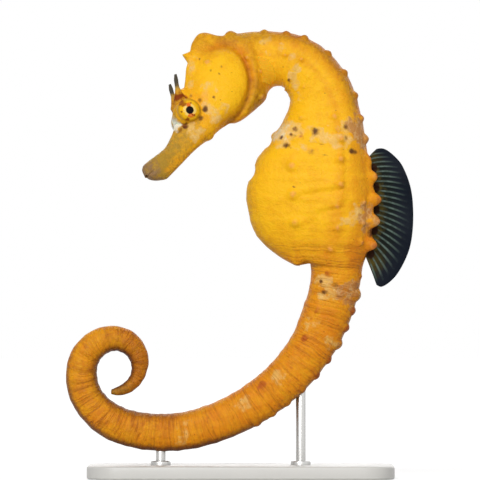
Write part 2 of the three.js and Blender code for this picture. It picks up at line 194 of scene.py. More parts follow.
@dataclass
class Midline:
    """The chain of arcs that the body is bent along, from the lips to the tail's tip."""

    start_heading: float = 45.0  # at the lips, up from +X
    arcs: Rows = (  # length and turn towards the belly
        (20.9, 5), (10.9, -13), (13.2, 2),  # snout, face and cheek
        (12.8, 32), (12, 59), (12, 30), (12, 20),  # nape, crest, neck and shoulder
        (30, 0), (15, 11), (12, 13),  # chest, belly and vent
        (24.5, 26), (24, 24), (24, 32), (12, 34),  # tail, down to its lowest point
        (12, 49), (12, 67), (12, 86), (12, 86), (4, 28),  # the curl, up and in to the tip
    )
    x: float = 0.0  # of the lips
    z: float = 0.0

    def at(self, along: Places | float) -> tuple[Places, Places, Places]:
        """Finds the midline.

        Args:
            along: distance from the lips.

        Returns:
            The place's X, its Z and the heading in radians.
        """
        along = np.asarray(along, float)
        x, z, heading = (np.full(along.shape, at) for at in (self.x, self.z, math.radians(self.start_heading)))
        left = along.copy()
        last = len(self.arcs) - 1
        for number, (length, turn) in enumerate(self.arcs):
            step = np.clip(left, 0 if number else None, length if number < last else None)
            bend = math.radians(turn) * step / length
            chord = step * np.sinc(bend / 2 / np.pi)
            x = x + chord * np.cos(heading - bend / 2)
            z = z + chord * np.sin(heading - bend / 2)
            heading = heading - bend
            left = left - step
        return x, z, heading


@dataclass
class Body:
    """The body's midline, sections and turned head."""

    midline: Midline = field(default_factory=Midline)
    stations: Rows = (  # along, back height, belly depth, half width
        (0.4, 1.2, 0.7, 0.8), (1.2, 2.4, 2.0, 1.8), (2.6, 3.0, 3.4, 2.4), (5.2, 2.8, 4.7, 2.7), (10.5, 2.4, 4.5, 2.5),
        (15.2, 3.7, 4.1, 2.8), (19.2, 5.9, 3.9, 3.3), (27.2, 9.9, 4.4, 4.6), (31.2, 11.5, 5.4, 5.3),
        (33.4, 12.6, 7.2, 5.7), (37.2, 14.6, 8.6, 6.3), (45.2, 15.9, 9.8, 6.9), (49.2, 13.9, 8.9, 6.7),  # head
        (53.2, 10.8, 8.2, 6.4), (57.2, 8.7, 8.8, 6.2), (61.2, 7.1, 10.0, 6.1), (67.2, 6.5, 10.9, 6.3),
        (72.2, 6.5, 11.2, 6.6), (79.2, 6.8, 13.6, 7.4), (87.2, 6.9, 17.4, 8.4),  # neck
        (95.2, 7.9, 20.8, 9.6), (101.2, 8.8, 24.9, 10.4), (111.2, 10.0, 27.9, 11.1), (119.2, 9.6, 26.7, 10.7),
        (127.2, 8.7, 22.5, 9.2), (131.2, 7.7, 18.4, 8.3), (132.6, 7.45, 15.4, 7.9), (133.4, 7.4, 8.4, 7.5),  # trunk
        (137.2, 7.35, 7.5, 7.2), (151.2, 7.2, 7.2, 6.6), (159.2, 6.9, 6.5, 6.3), (191.2, 6.0, 5.8, 5.3),
        (217.2, 5.8, 5.2, 4.8), (241.2, 4.6, 4.9, 4.2), (265.2, 3.6, 3.4, 3.1), (277.2, 2.0, 2.2, 1.9),
        (285.6, 1.15, 1.35, 1.05), (286.7, 0.75, 0.85, 0.75),  # tail
    )
    roundness: Rows = (  # along, back and belly; an ellipse is 2
        (0, 2.2, 2.2), (12, 2, 2.1), (20, 1.7, 2.1), (45, 1.7, 2), (60, 2.4, 2.1), (131, 2.4, 2), (140, 2.5, 2.5),
        (200, 2.4, 2.4), (280, 2, 2),
    )
    head_turn: float = 25.0  # towards the animal's left
    turn_pivot: float = 53.8  # where on the midline the turning line passes
    turn_axis_at: float = 25.2  # the turning line runs as the back does here
    turn_full_before: float = 43.2
    turn_none_after: float = 65.2
    lips: float = 0.4
    tail_from: float = 133.65
    tip: float = 286.9

    def __post_init__(self) -> None:
        """Makes the section curves, and sets the midline where the frame's tail is."""
        self.back, self.belly, self.half = curves(self.stations)
        self.back_round, self.belly_round = curves(self.roundness)
        self.settle()

    def settle(self) -> None:
        """Moves the midline so that the bare tail's lowest and foremost points are the frame's."""
        along, angle = np.meshgrid(np.linspace(self.tail_from, self.tip, 600), np.linspace(0, 2 * np.pi, 60))
        bare = self.point(along, *self.outline(along, angle))
        corner = np.min([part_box(name)[0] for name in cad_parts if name.startswith("tail_")], axis=0) / MM
        self.midline.x += corner[0] - bare[..., 0].min()
        self.midline.z += corner[2] - bare[..., 2].min()

    def outline(self, along: Places, angle: Places) -> tuple[Places, Places]:
        """The body's section.

        Args:
            along: distance along the midline.
            angle: in radians from the back, a quarter turn being the animal's left.

        Returns:
            Height up from the midline, and distance out to the left.
        """
        cosine, sine = np.cos(angle), np.sin(angle)
        reach, power = self.reach(along, cosine > 0)
        up = np.sign(cosine) * reach * np.abs(cosine) ** (2 / power)
        left = np.sign(sine) * self.half(along) * np.abs(sine) ** (2 / power)
        return up, left

    def reach(self, along: Places | float, on_back: Places) -> tuple[Places, Places]:
        """How far the section reaches up or down, and how round it is there."""
        reach = np.where(on_back, self.back(along), self.belly(along))
        return reach, np.where(on_back, self.back_round(along), self.belly_round(along))

    def side_at(self, along: Places | float, up: Places | float) -> Places:
        """How far the body's side is from its middle, at a height up from the midline."""
        reach, power = self.reach(along, np.asarray(up) > 0)
        return self.half(along) * np.clip(1 - np.abs(up / reach) ** power, 0, 1) ** (1 / power)

    def point(self, along: Places, up: Places, left: Places) -> Places:
        """A place on the body with the head facing straight on, in millimetres of the frame."""
        return self.near((along, 0.0, 0.0), 0.0, up, left)

    def near(self, home: Sequence[float | Places], ahead: Places | float, up: Places, left: Places) -> Places:
        """A place given in the flat axes of one place of the body.

        Args:
            home: that place's distance along, height up and distance out to the left.
            ahead: how far on from it, straight along the midline there.
            up: how far up from it.
            left: how far to its left.

        Returns:
            The places, with the head facing straight on.
        """
        x, z, heading = self.midline.at(home[0])
        rise = home[1] + up
        return np.stack([
            x + ahead * np.cos(heading) - rise * np.sin(heading),
            -(home[2] + left) + 0 * x,
            z + ahead * np.sin(heading) + rise * np.cos(heading),
        ], -1)

    def flat_axes(self, home: Sequence[float], points: Places) -> tuple[Places, Places, Places]:
        """The opposite of near.

        Args:
            home: the place's distance along, height up and distance out to the left.
            points: the points, with the head facing straight on.

        Returns:
            How far they lie ahead of it, above it and to its left.
        """
        x, z, heading = self.midline.at(home[0])
        dx, dz = points[..., 0] - x, points[..., 2] - z
        ahead = dx * np.cos(heading) + dz * np.sin(heading)
        up = dz * np.cos(heading) - dx * np.sin(heading) - home[1]
        return ahead, up, -points[..., 1] - home[2]

    def turned(self, points: Places, along: Places | float) -> Places:
        """Turns places of the head to the animal's left.

        Args:
            points: the places, with the head facing straight on.
            along: how far along the body each belongs, which says how much it turns.

        Returns:
            The turned places.
        """
        x, z, _ = self.midline.at(self.turn_pivot)
        pivot = np.array([float(x), 0, float(z)])
        heading = float(self.midline.at(self.turn_axis_at)[2])
        axis = np.array([-math.sin(heading), 0, math.cos(heading)])
        share = smooth_step(np.asarray(along, float), self.turn_none_after, self.turn_full_before)
        angle = np.radians(self.head_turn) * share[..., None]
        arm = points - pivot
        beside = np.cross(np.broadcast_to(axis, arm.shape), arm)
        lifted = axis * (arm @ axis)[..., None]
        return arm * np.cos(angle) + beside * np.sin(angle) + lifted * (1 - np.cos(angle)) + pivot


# ---------------------------------------------------------------- the workbench


class Bench:
    """Blender's modelling tools, in the few forms that the pieces need."""

    @staticmethod
    def clear() -> None:
        """Leaves nothing selected."""
        bpy.ops.object.select_all(action="DESELECT")

    @staticmethod
    def add(name: str, operator: Callable[..., set[str]], **settings: object) -> Piece:
        """Adds a simple mesh.

        Args:
            name: the piece's name.
            operator: Blender's operator that adds it.
            settings: the operator's own settings.

        Returns:
            The piece, at the origin, unturned and unscaled.
        """
        Bench.clear()
        operator(**settings)
        bpy.ops.object.transform_apply(location=True, rotation=True, scale=True)
        piece = bpy.context.object
        piece.name = piece.data.name = name
        return piece

    @staticmethod
    def take(piece: Piece) -> None:
        """Leaves one piece alone selected and active."""
        Bench.clear()
        piece.select_set(True)
        bpy.context.view_layer.objects.active = piece

    @staticmethod
    def edit(piece: Piece, choose: Callable[[Places], Places] | None = None) -> None:
        """Opens a piece for editing, with some of its vertices selected.

        Args:
            piece: the piece.
            choose: tells from the vertices' places which are selected; with none given, all are.
        """
        Bench.take(piece)
        bpy.ops.object.mode_set(mode="EDIT")
        bpy.ops.mesh.select_mode(type="VERT")
        bpy.ops.mesh.select_all(action="DESELECT" if choose else "SELECT")
        if choose:
            bpy.ops.object.mode_set(mode="OBJECT")
            chosen = np.asarray(choose(Bench.places(piece)), bool)
            piece.data.vertices.foreach_set("select", chosen)
            bpy.ops.object.mode_set(mode="EDIT")

    @staticmethod
    def close() -> None:
        """Leaves edit mode."""
        bpy.ops.object.mode_set(mode="OBJECT")

    @staticmethod
    def places(piece: Piece) -> Places:
        """The places of a piece's vertices, in metres."""
        flat = np.empty(len(piece.data.vertices) * 3)
        piece.data.vertices.foreach_get("co", flat)
        return flat.reshape(-1, 3)

    @staticmethod
    def corners(piece: Piece) -> Places:
        """The vertex at each corner of a piece's faces."""
        corners = np.empty(len(piece.data.loops), int)
        piece.data.loops.foreach_get("vertex_index", corners)
        return corners

    @staticmethod
    def move_to(piece: Piece, places: Places) -> None:
        """Moves a piece's vertices to new places, in metres."""
        piece.data.vertices.foreach_set("co", np.ascontiguousarray(places, float).ravel())
        piece.data.update()

    @staticmethod
    def modify(piece: Piece, kind: str, **settings: object) -> None:
        """Adds a modifier and applies it.

        Args:
            piece: the piece.
            kind: Blender's name for the modifier's type.
            settings: the modifier's own settings.
        """
        Bench.take(piece)
        modifier = piece.modifiers.new(kind.title(), kind)
        for name, value in settings.items():
            setattr(modifier, name, value)
        bpy.ops.object.modifier_apply(modifier=modifier.name)

    @staticmethod
    def paint(piece: Piece, name: str, values: Places) -> None:
        """Stores a number on each of a piece's vertices, for its finish to read."""
        attribute = piece.data.attributes.new(name, "FLOAT", "POINT")
        attribute.data.foreach_set("value", np.ascontiguousarray(values, np.float32).ravel())

    @staticmethod
    def smooth(piece: Piece, angle: float | None = None) -> None:
        """Shades a piece smooth.

        Args:
            piece: the piece.
            angle: the angle between faces up to which it is smooth; with none given, it is smooth all over.
        """
        Bench.take(piece)
        if angle is None:
            bpy.ops.object.shade_smooth()
        else:
            bpy.ops.object.shade_smooth_by_angle(angle=math.radians(angle))

    @staticmethod
    def face_outwards(piece: Piece) -> None:
        """Turns a closed piece's faces outwards, and leaves edit mode."""
        Bench.edit(piece)
        bpy.ops.mesh.normals_make_consistent(inside=False)
        Bench.close()

    @staticmethod
    def hand_over(piece: Piece, slot: str, finish: bpy.types.Material, nodes: Sequence[str] = ()) -> None:
        """Gives a piece its finish and its place in the model.

        Args:
            piece: the finished piece.
            slot: the record's material slot; not used.
            finish: the material.
            nodes: the frame's nodes that it stands for.
        """
        piece.data.materials.clear()
        piece.data.materials.append(finish)
        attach(piece, "root")
        if nodes:
            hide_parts(*nodes)
        LOG.info("%s: %d vertices", piece.name, len(piece.data.vertices))


class Recipe:
    """A material or world being mixed, with short calls for the nodes that it uses."""

    def __init__(self, owner: bpy.types.Material | bpy.types.World) -> None:
        """Starts from Blender's own plain nodes.

        Args:
            owner: the new material or world.
        """
        owner.use_nodes = True
        self.owner = owner
        self.nodes = owner.node_tree.nodes

    def feed(self, socket: Socket, value: object) -> None:
        """Feeds a node's input.

        Args:
            socket: the input.
            value: a socket to link to it, or the value to set.
        """
        if isinstance(value, Socket):
            self.owner.node_tree.links.new(value, socket)
        else:
            socket.default_value = value

    def node(self, kind: str, inputs: dict[str | int, object] | None = None, **settings: object) -> bpy.types.Node:
        """Adds a node.

        Args:
            kind: the rest of Blender's name for the node's type, after ShaderNode.
            inputs: a value, or a socket to link, for each input by name or number.
            settings: the node's own settings.

        Returns:
            The node.
        """
        node = self.nodes.new("ShaderNode" + kind)
        for name, value in settings.items():
            setattr(node, name, value)
        for name, value in (inputs or {}).items():
            self.feed(node.inputs[name], value)
        return node

    def finish(self, **values: object) -> bpy.types.Material:
        """Sets or links the shader's own inputs, named with _ for each space, and gives the material."""
        for name, value in values.items():
            self.feed(self.nodes["Principled BSDF"].inputs[name.replace("_", " ")], value)
        return self.owner

    def object_place(self) -> Socket:
        """The place on the piece, in metres."""
        return self.node("TexCoord").outputs["Object"]

    def painted(self, name: str) -> Socket:
        """The number painted on the piece under a name."""
        return self.node("Attribute", attribute_name=name).outputs["Fac"]

    def sum(self, operation: str, a: Socket | float, b: Socket | float = 0.0, c: Socket | float = 0.0) -> Socket:
        """One step of arithmetic."""
        return self.node("Math", {0: a, 1: b, 2: c}, operation=operation).outputs[0]

    def times(self, a: Socket, b: Socket | float) -> Socket:
        """One value times another."""
        return self.sum("MULTIPLY", a, b)

    def frayed(self, value: Socket, ragged: Socket, amount: float) -> Socket:
        """A value made uneven by a field from 0 to 1."""
        return self.sum("ADD", value, self.sum("MULTIPLY_ADD", ragged, amount, -amount / 2))

    def off(self, value: Socket, middle: float) -> Socket:
        """How far a value is from a middle one."""
        return self.sum("ABSOLUTE", self.sum("SUBTRACT", value, middle))

    def between(self, value: Socket, low: float, high: float, to_low: float = 0.0, to_high: float = 1.0) -> Socket:
        """Rises smoothly from to_low to to_high as a value goes from low to high."""
        inputs = {"Value": value, "From Min": low, "From Max": high, "To Min": to_low, "To Max": to_high}
        return self.node("MapRange", inputs, interpolation_type="SMOOTHSTEP").outputs["Result"]

    def noise(self, place: Socket, cell: float, detail: float = 2.0, roughness: float = 0.5) -> Socket:
        """A random field with features of a size in millimetres, from 0 to 1."""
        inputs = {"Vector": place, "Scale": 1 / (cell * MM), "Detail": detail, "Roughness": roughness}
        return self.node("TexNoise", inputs).outputs["Fac"]

    def clouds(self, place: Socket, cell: float, detail: float = 2.0, roughness: float = 0.5) -> Socket:
        """A random field with more contrast."""
        return self.between(self.noise(place, cell, detail, roughness), 0.3, 0.7)

    def mix(self, share: Socket | float, a: Socket | Colour, b: Socket | Colour) -> Socket:
        """Mixes two colours."""
        under, over = (value if isinstance(value, Socket) else (*value, 1.0) for value in (a, b))
        inputs = {0: share, 6: under, 7: over}
        return self.node("Mix", inputs, data_type="RGBA", blend_type="MIX", clamp_factor=True).outputs[2]

    def layered(self, colour: Socket | Colour, *coats: tuple[Socket, Colour] | tuple[Socket, Colour, float]) -> Socket:
        """Lays coats of colour over a first one.

        Args:
            colour: the first colour.
            coats: for each coat its share, its colour and, where it is thinner, its strength.

        Returns:
            The colour.
        """
        for share, coat, *strength in coats:
            colour = self.mix(self.times(share, *strength) if strength else share, colour, coat)
        return colour

    def edged(self, name: str, ragged: Socket, amount: float, low: float, high: float) -> Socket:
        """A paint whose soft edge is made ragged.

        Args:
            name: the paint.
            ragged: a field from 0 to 1.
            amount: how much it shifts the edge.
            low: the paint's strength where it begins to show.
            high: its strength where it shows in full.

        Returns:
            How much of it shows.
        """
        paint = self.painted(name)
        shifted = self.sum("MULTIPLY_ADD", ragged, amount, -amount / 2)
        felt = self.times(shifted, self.between(paint, 0.0, 0.3))
        return self.between(self.sum("ADD", paint, felt), low, high)

    def bands(self, place: Socket, along: Socket, pitch: float, spread: float, detail: float) -> Socket:
        """Noise drawn out round the body.

        Args:
            place: the place on the piece.
            along: the distance along the body in millimetres.
            pitch: how long its features are along the body.
            spread: how long they are round it.
            detail: how much finer noise it holds.

        Returns:
            The noise, from 0 to 1.
        """
        _, y, z = self.node("SeparateXYZ", {0: place}).outputs
        steps = zip((along, y, z), (1 / pitch, 1 / (spread * MM), 0.6 / (spread * MM)))
        drawn = self.node("CombineXYZ", {axis: self.times(*step) for axis, step in enumerate(steps)}).outputs[0]
        inputs = {"Vector": drawn, "Scale": 1.0, "Detail": detail, "Roughness": 0.6}
        return self.node("TexNoise", inputs).outputs["Fac"]

    def on_ray(self, low: float, most: float) -> Socket:
        """A share that is most on a fin's rays and 0 between them."""
        turns = self.sum("MULTIPLY_ADD", self.painted("ray"), 2 * math.pi, -math.pi)
        return self.between(self.sum("COSINE", turns), low, 1.0, 0.0, most)

    def bump(self, height: Socket, depth: float, below: Socket | None = None) -> Socket:
        """A normal bumped by a relief from 0 to 1, its depth in millimetres, over the normal below."""
        inputs = {"Height": height, "Distance": depth * MM, "Strength": 1.0} | ({"Normal": below} if below else {})
        return self.node("Bump", inputs).outputs["Normal"]

    def seen_directly(self) -> Socket:
        """A share that is 1 for the camera, and for what is seen in or through glass and metal."""
        rays = self.node("LightPath").outputs
        indirect = self.sum("MAXIMUM", rays["Is Glossy Ray"], rays["Is Transmission Ray"])
        return self.sum("MAXIMUM", rays["Is Camera Ray"], indirect)

    def end(self, output: str, shader: Socket) -> None:
        """Makes a shader the whole of the material or world."""
        self.feed(self.nodes[output].inputs["Surface"], shader)


# ---------------------------------------------------------------- the skin's relief


@dataclass(frozen=True)
class TubercleRow:
    """A row of tubercles down both sides of the body."""

    angle: float  # from the back
    height: float
    radius: float
    rings: tuple[float, ...]  # where they stand along the body
    sharpness: float = 1.6
    blush: float = 0.6  # how pink their tips are


TUBERCLES = tuple(TubercleRow(*row) for row in (
    (13, 1, 2.3, (51,), 1.3, 0.2), (18, 0.7, 1.6, (57.9, 61.9), 1.8, 0.4),
    (19, 0.9, 1.6, (65.6, 71.4, 77.2, 83.2, 89.4), 1.5, 0.5), (18, 1.2, 2, (94.6,), 1.3, 0.2),
    (25, 0.1, 1.5, (100.4,), 1.3, 0.9), (178, 0.35, 1.7, (92.7,), 1.3, 0), (178, -0.6, 1.9, (95.7,), 1.3, 0),
    (178, -0.8, 2.7, (104.8,), 1.3, 0), (25, 1.2, 1.9, (106.2,), 1.1, 0.6), (25, 2, 2.2, (112.6, 119.2), 1.1, 0.5),
    (25, 1.8, 2.1, (125.9,), 1.1, 0.8), (20, -0.35, 1.7, (103.5, 109.2, 115.6, 121.9, 128.4), 1.6, 0),
    (20, 0.4, 1.5, (134.8,), 1.6, 0.9), (20, 1.25, 2.4, (140,), 1.2, 0.1), (20, 0.9, 1.7, (144.3, 149.2), 1.2, 1),
    (20, 1.05, 2.1, (154,), 1.2, 0.3), (20, 0.8, 1.7, (158.9, 164.3), 1.2, 1),
    (20, 0.6, 1.6, (169.6, 174.8, 180, 185.1), 1.4, 0.9), (48, 0.8, 1.2, (113.6, 119.9, 125.6), 1.4, 0.9),
    (91.5, 1, 1.5, (87.6,), 1.4, 0.8), (93, 0.7, 1.1, (91.7,), 1.4, 0.7), (88, 1, 1.5, (94.5,), 1.4, 0.8),
    (89.5, 1, 1.5, (100.8, 108), 1.4, 0.8), (92, 0.95, 1.4, (114.8, 121.2), 1.4, 0.8),
    (97.5, 0.8, 1.3, (127.6,), 1.4, 0.8), (109, 0.4, 1.1, (135.4, 148, 157.3), 1.5, 0),
    (124, 1.1, 2, (102.7,), 1.2, 0.7), (119, 1.1, 2, (111.2, 119.6), 1.2, 0.7),
    (130, 0.7, 1.1, (85.6, 94.4), 1.6, 0.6), (89, 0.7, 1, (61.6, 66.6), 1.5, 0.8), (122, 0.4, 0.9, (73.6,), 1.6, 0.5),
    (42, 1, 1.3, (40.5,), 1.4, 1.5), (4, 1.3, 2.9, (28.4,), 1.2, 0), (76, 0.8, 1.1, (49.6,), 1.4, 1.2),
    (107, 0.5, 1, (49.8,), 1.5, 0.9), (147, 1, 1.4, (43.3,), 1.4, 1.3), (172, 0.3, 1.8, (24.4,), 1.3, 0),
))


class Paint(Enum):
    """The paints of the skin, each a number on every vertex that the finish reads."""

    TONE = "tone"  # from yellow to orange
    CREAM = "cream"
    DUSK = "dusk"
    SPOT = "spot"
    BLUSH = "blush"
    RUST = "rust"
    FROST = "frost"
    # brown: mostly painted shade in grooves, hollows and creases and on edges, with a few brown marks
    SHADE = "shade"
    DULL = "dull"
    STRIPES = "stripes"


@dataclass(frozen=True)
class Patch:
    """A soft-edged patch of one paint on the skin."""

    along: float
    angle: float  # from the back
    radius: float
    strength: float = 1.0
    sides: tuple[Side, ...] = (Side.LEFT, Side.RIGHT)


PATCHES = {paint: tuple(Patch(*row) for row in rows) for paint, rows in {
    Paint.CREAM: (
        (38.8, 17, 2.4, 0.8), (36.5, 22, 2.8, 0.8), (33.6, 24, 2.6, 0.6), (33.2, 52, 2.6, 0.7), (34.8, 59, 2.4, 0.7),
        (29.2, 73, 2.6), (28.8, 88, 2.6), (28.2, 104, 2.8), (30.8, 96, 2.4, 0.6), (20.9, 74, 2.4, 0.9),
        (19.7, 88, 2.8), (21.8, 96, 2.4, 0.7), (18.8, 33, 1.2, 0.6), (22.3, 27, 0.9, 0.6),  # head
        (57.3, 50, 2, 0.5), (56.9, 66, 2.2, 0.6), (56.5, 84, 2.2, 0.45), (63.6, 94, 2, 0.9), (66.4, 104, 2),
        (66.1, 120, 2.2), (70.6, 131, 2.2, 0.8), (75.9, 134, 2, 0.5), (61, 76, 1.8, 0.7),  # neck
        (88.4, 165, 4), (89.8, 149, 4, 1.1), (91.2, 137, 3.8, 1.1), (92.4, 158, 3.4), (95.3, 140, 3.2, 0.9),
        (93.6, 153, 3.2, 1.1), (91.6, 124, 2.2, 0.4), (91, 114, 3, 0.6), (97, 122, 2.4, 0.5), (93.4, 104, 3.4, 0.8),
        (95.2, 92, 3.2, 0.8), (92, 84, 2.6, 0.8), (91, 74, 2.8, 0.9), (94.6, 76, 2.4, 0.8), (97.2, 88, 2.2, 0.6),
        (119.4, 84, 2.8, 0.6), (118.2, 70, 3.2, 0.9), (117, 60, 2.8, 0.9),  # trunk
        (138.4, 112, 3.2, 0.9), (140.4, 92, 3.2, 0.9), (142.4, 104, 2.8, 0.8), (138, 134, 2.4, 0.6),
        (152.4, 110, 3.4, 0.6), (153.9, 47, 3.4, 0.6), (155, 60, 2.8, 0.3), (171.5, 101, 3.6, 0.5),
        (184.7, 105, 4, 0.5), (204.7, 108, 2.4, 0.5), (205.6, 89, 2.4, 0.5), (206.6, 70, 2.6, 0.5),  # tail
    ),
    Paint.DUSK: (
        (91.4, 60, 3, 0.9), (92.6, 48, 3.4), (93.6, 35, 3.6), (91.2, 22, 3.8), (94.6, 14, 3.2), (96.8, 34, 2.4, 0.7),
        (89.4, 40, 2.6, 0.6),  # back
        (118.4, 50, 2.8, 0.9), (116.4, 38, 3), (119.2, 28, 3.4), (121, 42, 2.4, 0.8),
        (114.8, 48, 2, 0.7),  # beside the fin
        (140.1, 72, 3.2, 0.9), (139.4, 56, 3.4), (138.8, 40, 3.6), (141.9, 54, 2.8, 0.8), (140.8, 18, 3.4),
        (142.8, 34, 2.8, 0.8), (153.6, 16, 2.8, 0.8), (20.6, 30, 2, 0.5),
    ),
    Paint.SPOT: (
        (27.8, 69, 1.15), (24.8, 71, 1.2, 0.85), (24.4, 66, 1, 0.7),  # round the eye
        (29, 52, 0.95, 0.65), (29.2, 33, 1.1, 0.7), (22, 38, 0.9, 0.6), (40.6, 28, 0.5, 0.6), (41.2, 59, 0.4, 0.6),
        (38.8, 62, 0.4, 0.6), (38.5, 51, 0.4, 0.5), (32.1, 70, 0.45, 0.7), (65, 132, 0.7, 0.7), (56.2, 65, 0.6, 0.4),
        (94, 148.5, 1.1, 0.9), (92.8, 137.5, 0.8, 0.8), (90.4, 134, 1.1, 0.7),  # chest
        (96.5, 136, 1.3, 0.8), (91.7, 113, 1.4, 0.9), (93.9, 130, 0.7, 0.5), (98.5, 110, 1.4, 0.35),
        (98.1, 70, 1.5, 0.9), (98.6, 64, 1.2, 0.7), (91.2, 79, 1, 0.7), (94.8, 79, 0.8, 0.6), (99.4, 100, 0.4, 0.6),
        (96.4, 104, 0.35, 0.6), (109, 120, 0.35, 0.6), (122.5, 27, 2, 0.75), (138.4, 120.6, 0.8, 0.8),
        (138.4, 90, 1.1, 0.6), (141.4, 110, 1.1, 0.8),
    ),
    Paint.RUST: (
        (26.8, 12, 1.8, 0.5), (25.8, 18, 2, 0.9), (25, 26, 2),  # brow
        (23.4, 150, 1.8, 0.4), (135.4, 109, 1.3, 0.8), (148, 110, 1.4, 0.6), (157.3, 112, 1.5),  # tail
        (177, 115, 2, 0.9), (168, 96, 2, 0.4), (197, 116, 2, 0.5), (134.8, 20, 1.8, 0.8), (144.3, 22, 2),
        (149.2, 22, 2), (158.9, 22, 2, 0.8), (164.3, 22, 2, 0.9), (169.6, 22, 1.8, 0.7), (125.9, 26, 1.8, 0.8),
        (94.1, 125, 1.8, 0.45), (100.4, 26, 1.6, 0.8), (89.4, 16, 1.6, 0.6), (106.2, 22, 1.5, 0.7),
        (112.6, 22, 1.6, 0.8), (119.2, 22, 1.5, 0.5), (125.6, 48, 1.2, 0.6),
    ),
    Paint.BLUSH: ((31.8, 58, 2.6, 0.5), (97.8, 112, 1.6, 0.3)),
    Paint.FROST: (
        (20.6, 4, 2.7, 1.2), (22.4, 17, 1.3, 0.6), (18.4, 5, 1.8), (23.1, 30, 1, 0.4), (91.2, 150, 3.4, 0.6),
        (92.6, 159, 2.8, 0.5), (93, 143, 2.6, 0.45), (22.9, 38, 2.2, 0.9, (Side.RIGHT,)),
        (20.4, 24, 2.2, 1.1, (Side.RIGHT,)),
    ),
    # Brown patches of the shade paint: painted shade in the hollows by the fin and beside a dorsal bump; brown marks
    # about the eye, under the snout and behind the gill cover.
    Paint.SHADE: (
        (103.5, 17, 1.8), (109.2, 17, 2), (115.6, 17, 2),  # painted shade in the hollows by the fin
        (121.9, 17, 2), (128.4, 17, 2.3), (22.3, 150, 1.6, 0.3), (22.9, 37, 0.7, 0.8), (19.9, 49, 1.1, 1.1),
        (18.1, 47, 1.1, 0.7), (44, 115, 3.2, 0.45), (42, 132, 3.2, 0.4), (112.7, 29, 0.9, 0.6),
    ),
}.items()}


@dataclass(frozen=True)
class Wash:
    """A broad wash of one paint down the body."""

    strength: float
    band: tuple[float, ...]  # along the body: where it starts, is full, fades and ends, or its middle and its reach
    angles: tuple[float, float]  # from the back: where it starts, and where it is full

    def laid(self, along: Places, angle: Places) -> Places:
        """How much of it lies on each place, given by distance along and angle from the back."""
        down = plateau(along, *self.band) if len(self.band) > 2 else knob(along - self.band[0], self.band[1])
        return self.strength * down * smooth_step(angle, *self.angles)


# Broad washes of the shade paint: painted shade on the neck's back edge, beside the fin, in the vent and on the belly's
# front; darker brown over the crown and under the throat.
SHADES = tuple(Wash(*row) for row in (
    (0.42, (45, 49, 84, 92), (78, 38)),  # nape: painted shade on the neck's back edge
    (0.3, (45.5, 6.5), (70, 20)),  # crown
    (0.75, (98, 106, 125, 133), (22, 9)),  # beside the fin: painted shade where the skin dips to the fin's root
    (0.5, (41.5, 12), (98, 138)),  # throat
    (0.35, (133.2, 1.3), (95, 130)),  # vent: painted shade in the vent's crease
    (0.3, (54, 64, 128, 138), (135, 172)),  # the belly's front: painted shade on its edge
))


@dataclass(frozen=True)
class Ridge:
    """A low ridge down both sides of the body."""

    height: float
    band: tuple[float, ...]  # along the body: where it starts, is full, fades and ends
    line: Curve  # its angle from the back, by the distance along
    width: float  # in radians

    def lift(self, along: Places, angle: Places) -> Places:
        """How far it stands out, at distances along and angles from the back in radians."""
        return self.height * plateau(along, *self.band) * bell(angle, np.radians(self.line(along)), self.width)


FLANK_ROW = Curve(((84, 91), (92, 90), (96, 88.5), (108, 89.5), (122, 93), (134, 102)))  # of tubercles: its angle
RIDGES = (
    Ridge(0.4, (84, 96, 128, 140), FLANK_ROW, 0.09),
    Ridge(1.3, (97, 102, 126, 131), Curve(((97, 23), (131, 23))), 0.15),  # beside the fin
    Ridge(0.3, (134, 140, 170, 200), Curve(((134, 32), (200, 32))), 0.2),  # down the tail
)


@dataclass
class GillCover:
    """The domed gill cover on each cheek, with the crescent groove behind it and the shoulder behind that."""

    home: tuple[float, float] = (37.6, 4.0)  # along and up
    half_length: float = 11.1
    half_width: float = 8.2
    tilt: float = 61.0
    height: float = 1.75
    groove_depth: float = 1.0
    groove_at: float = 1.1  # as a share of the cover's own size
    groove_spread: float = 0.12
    shoulder_height: float = 0.55
    shoulder_at: float = 1.36
    shoulder_spread: float = 0.15

    def shares(self, along: Places, up: Places) -> tuple[Places, Places]:
        """How far out a place is, 1 being the cover's edge, and how far round to the cover's rear.

        Args:
            along: distance along the midline.
            up: height up from it.

        Returns:
            The distance as a share of the cover's size, and 1 on the rear edge falling to 0 in front.
        """
        lean = math.radians(self.tilt)
        a, b = along - self.home[0], up - self.home[1]
        length = (a * math.sin(lean) + b * math.cos(lean)) / self.half_length
        width = (a * math.cos(lean) - b * math.sin(lean)) / self.half_width
        out = np.hypot(length, width)
        top = np.clip(length, 0, 1) * 0.5 - np.clip(-length, 0, 1) * 0.4
        rear = smooth_step(width / np.maximum(out, 0.01) + top, -0.5, 0.3)
        return out, rear

    def swell(self, along: Places, up: Places) -> Places:
        """Works out how far the cheek stands out from the bare body.

        Args:
            along: distance along the midline.
            up: height up from it.

        Returns:
            The distance.
        """
        out, rear = self.shares(along, up)
        power = 1.35 - 0.8 * rear
        dome = self.height * np.clip(1 - out**2.4, 0, 1) ** power
        groove = self.groove(along, up) * self.groove_depth
        return dome - groove + self.shoulder_height * bell(out, self.shoulder_at, self.shoulder_spread) * rear

    def groove(self, along: Places, up: Places) -> Places:
        """How deep in the crescent groove a place is, from 0 to 1."""
        out, rear = self.shares(along, up)
        return bell(out, self.groove_at, self.groove_spread) * rear


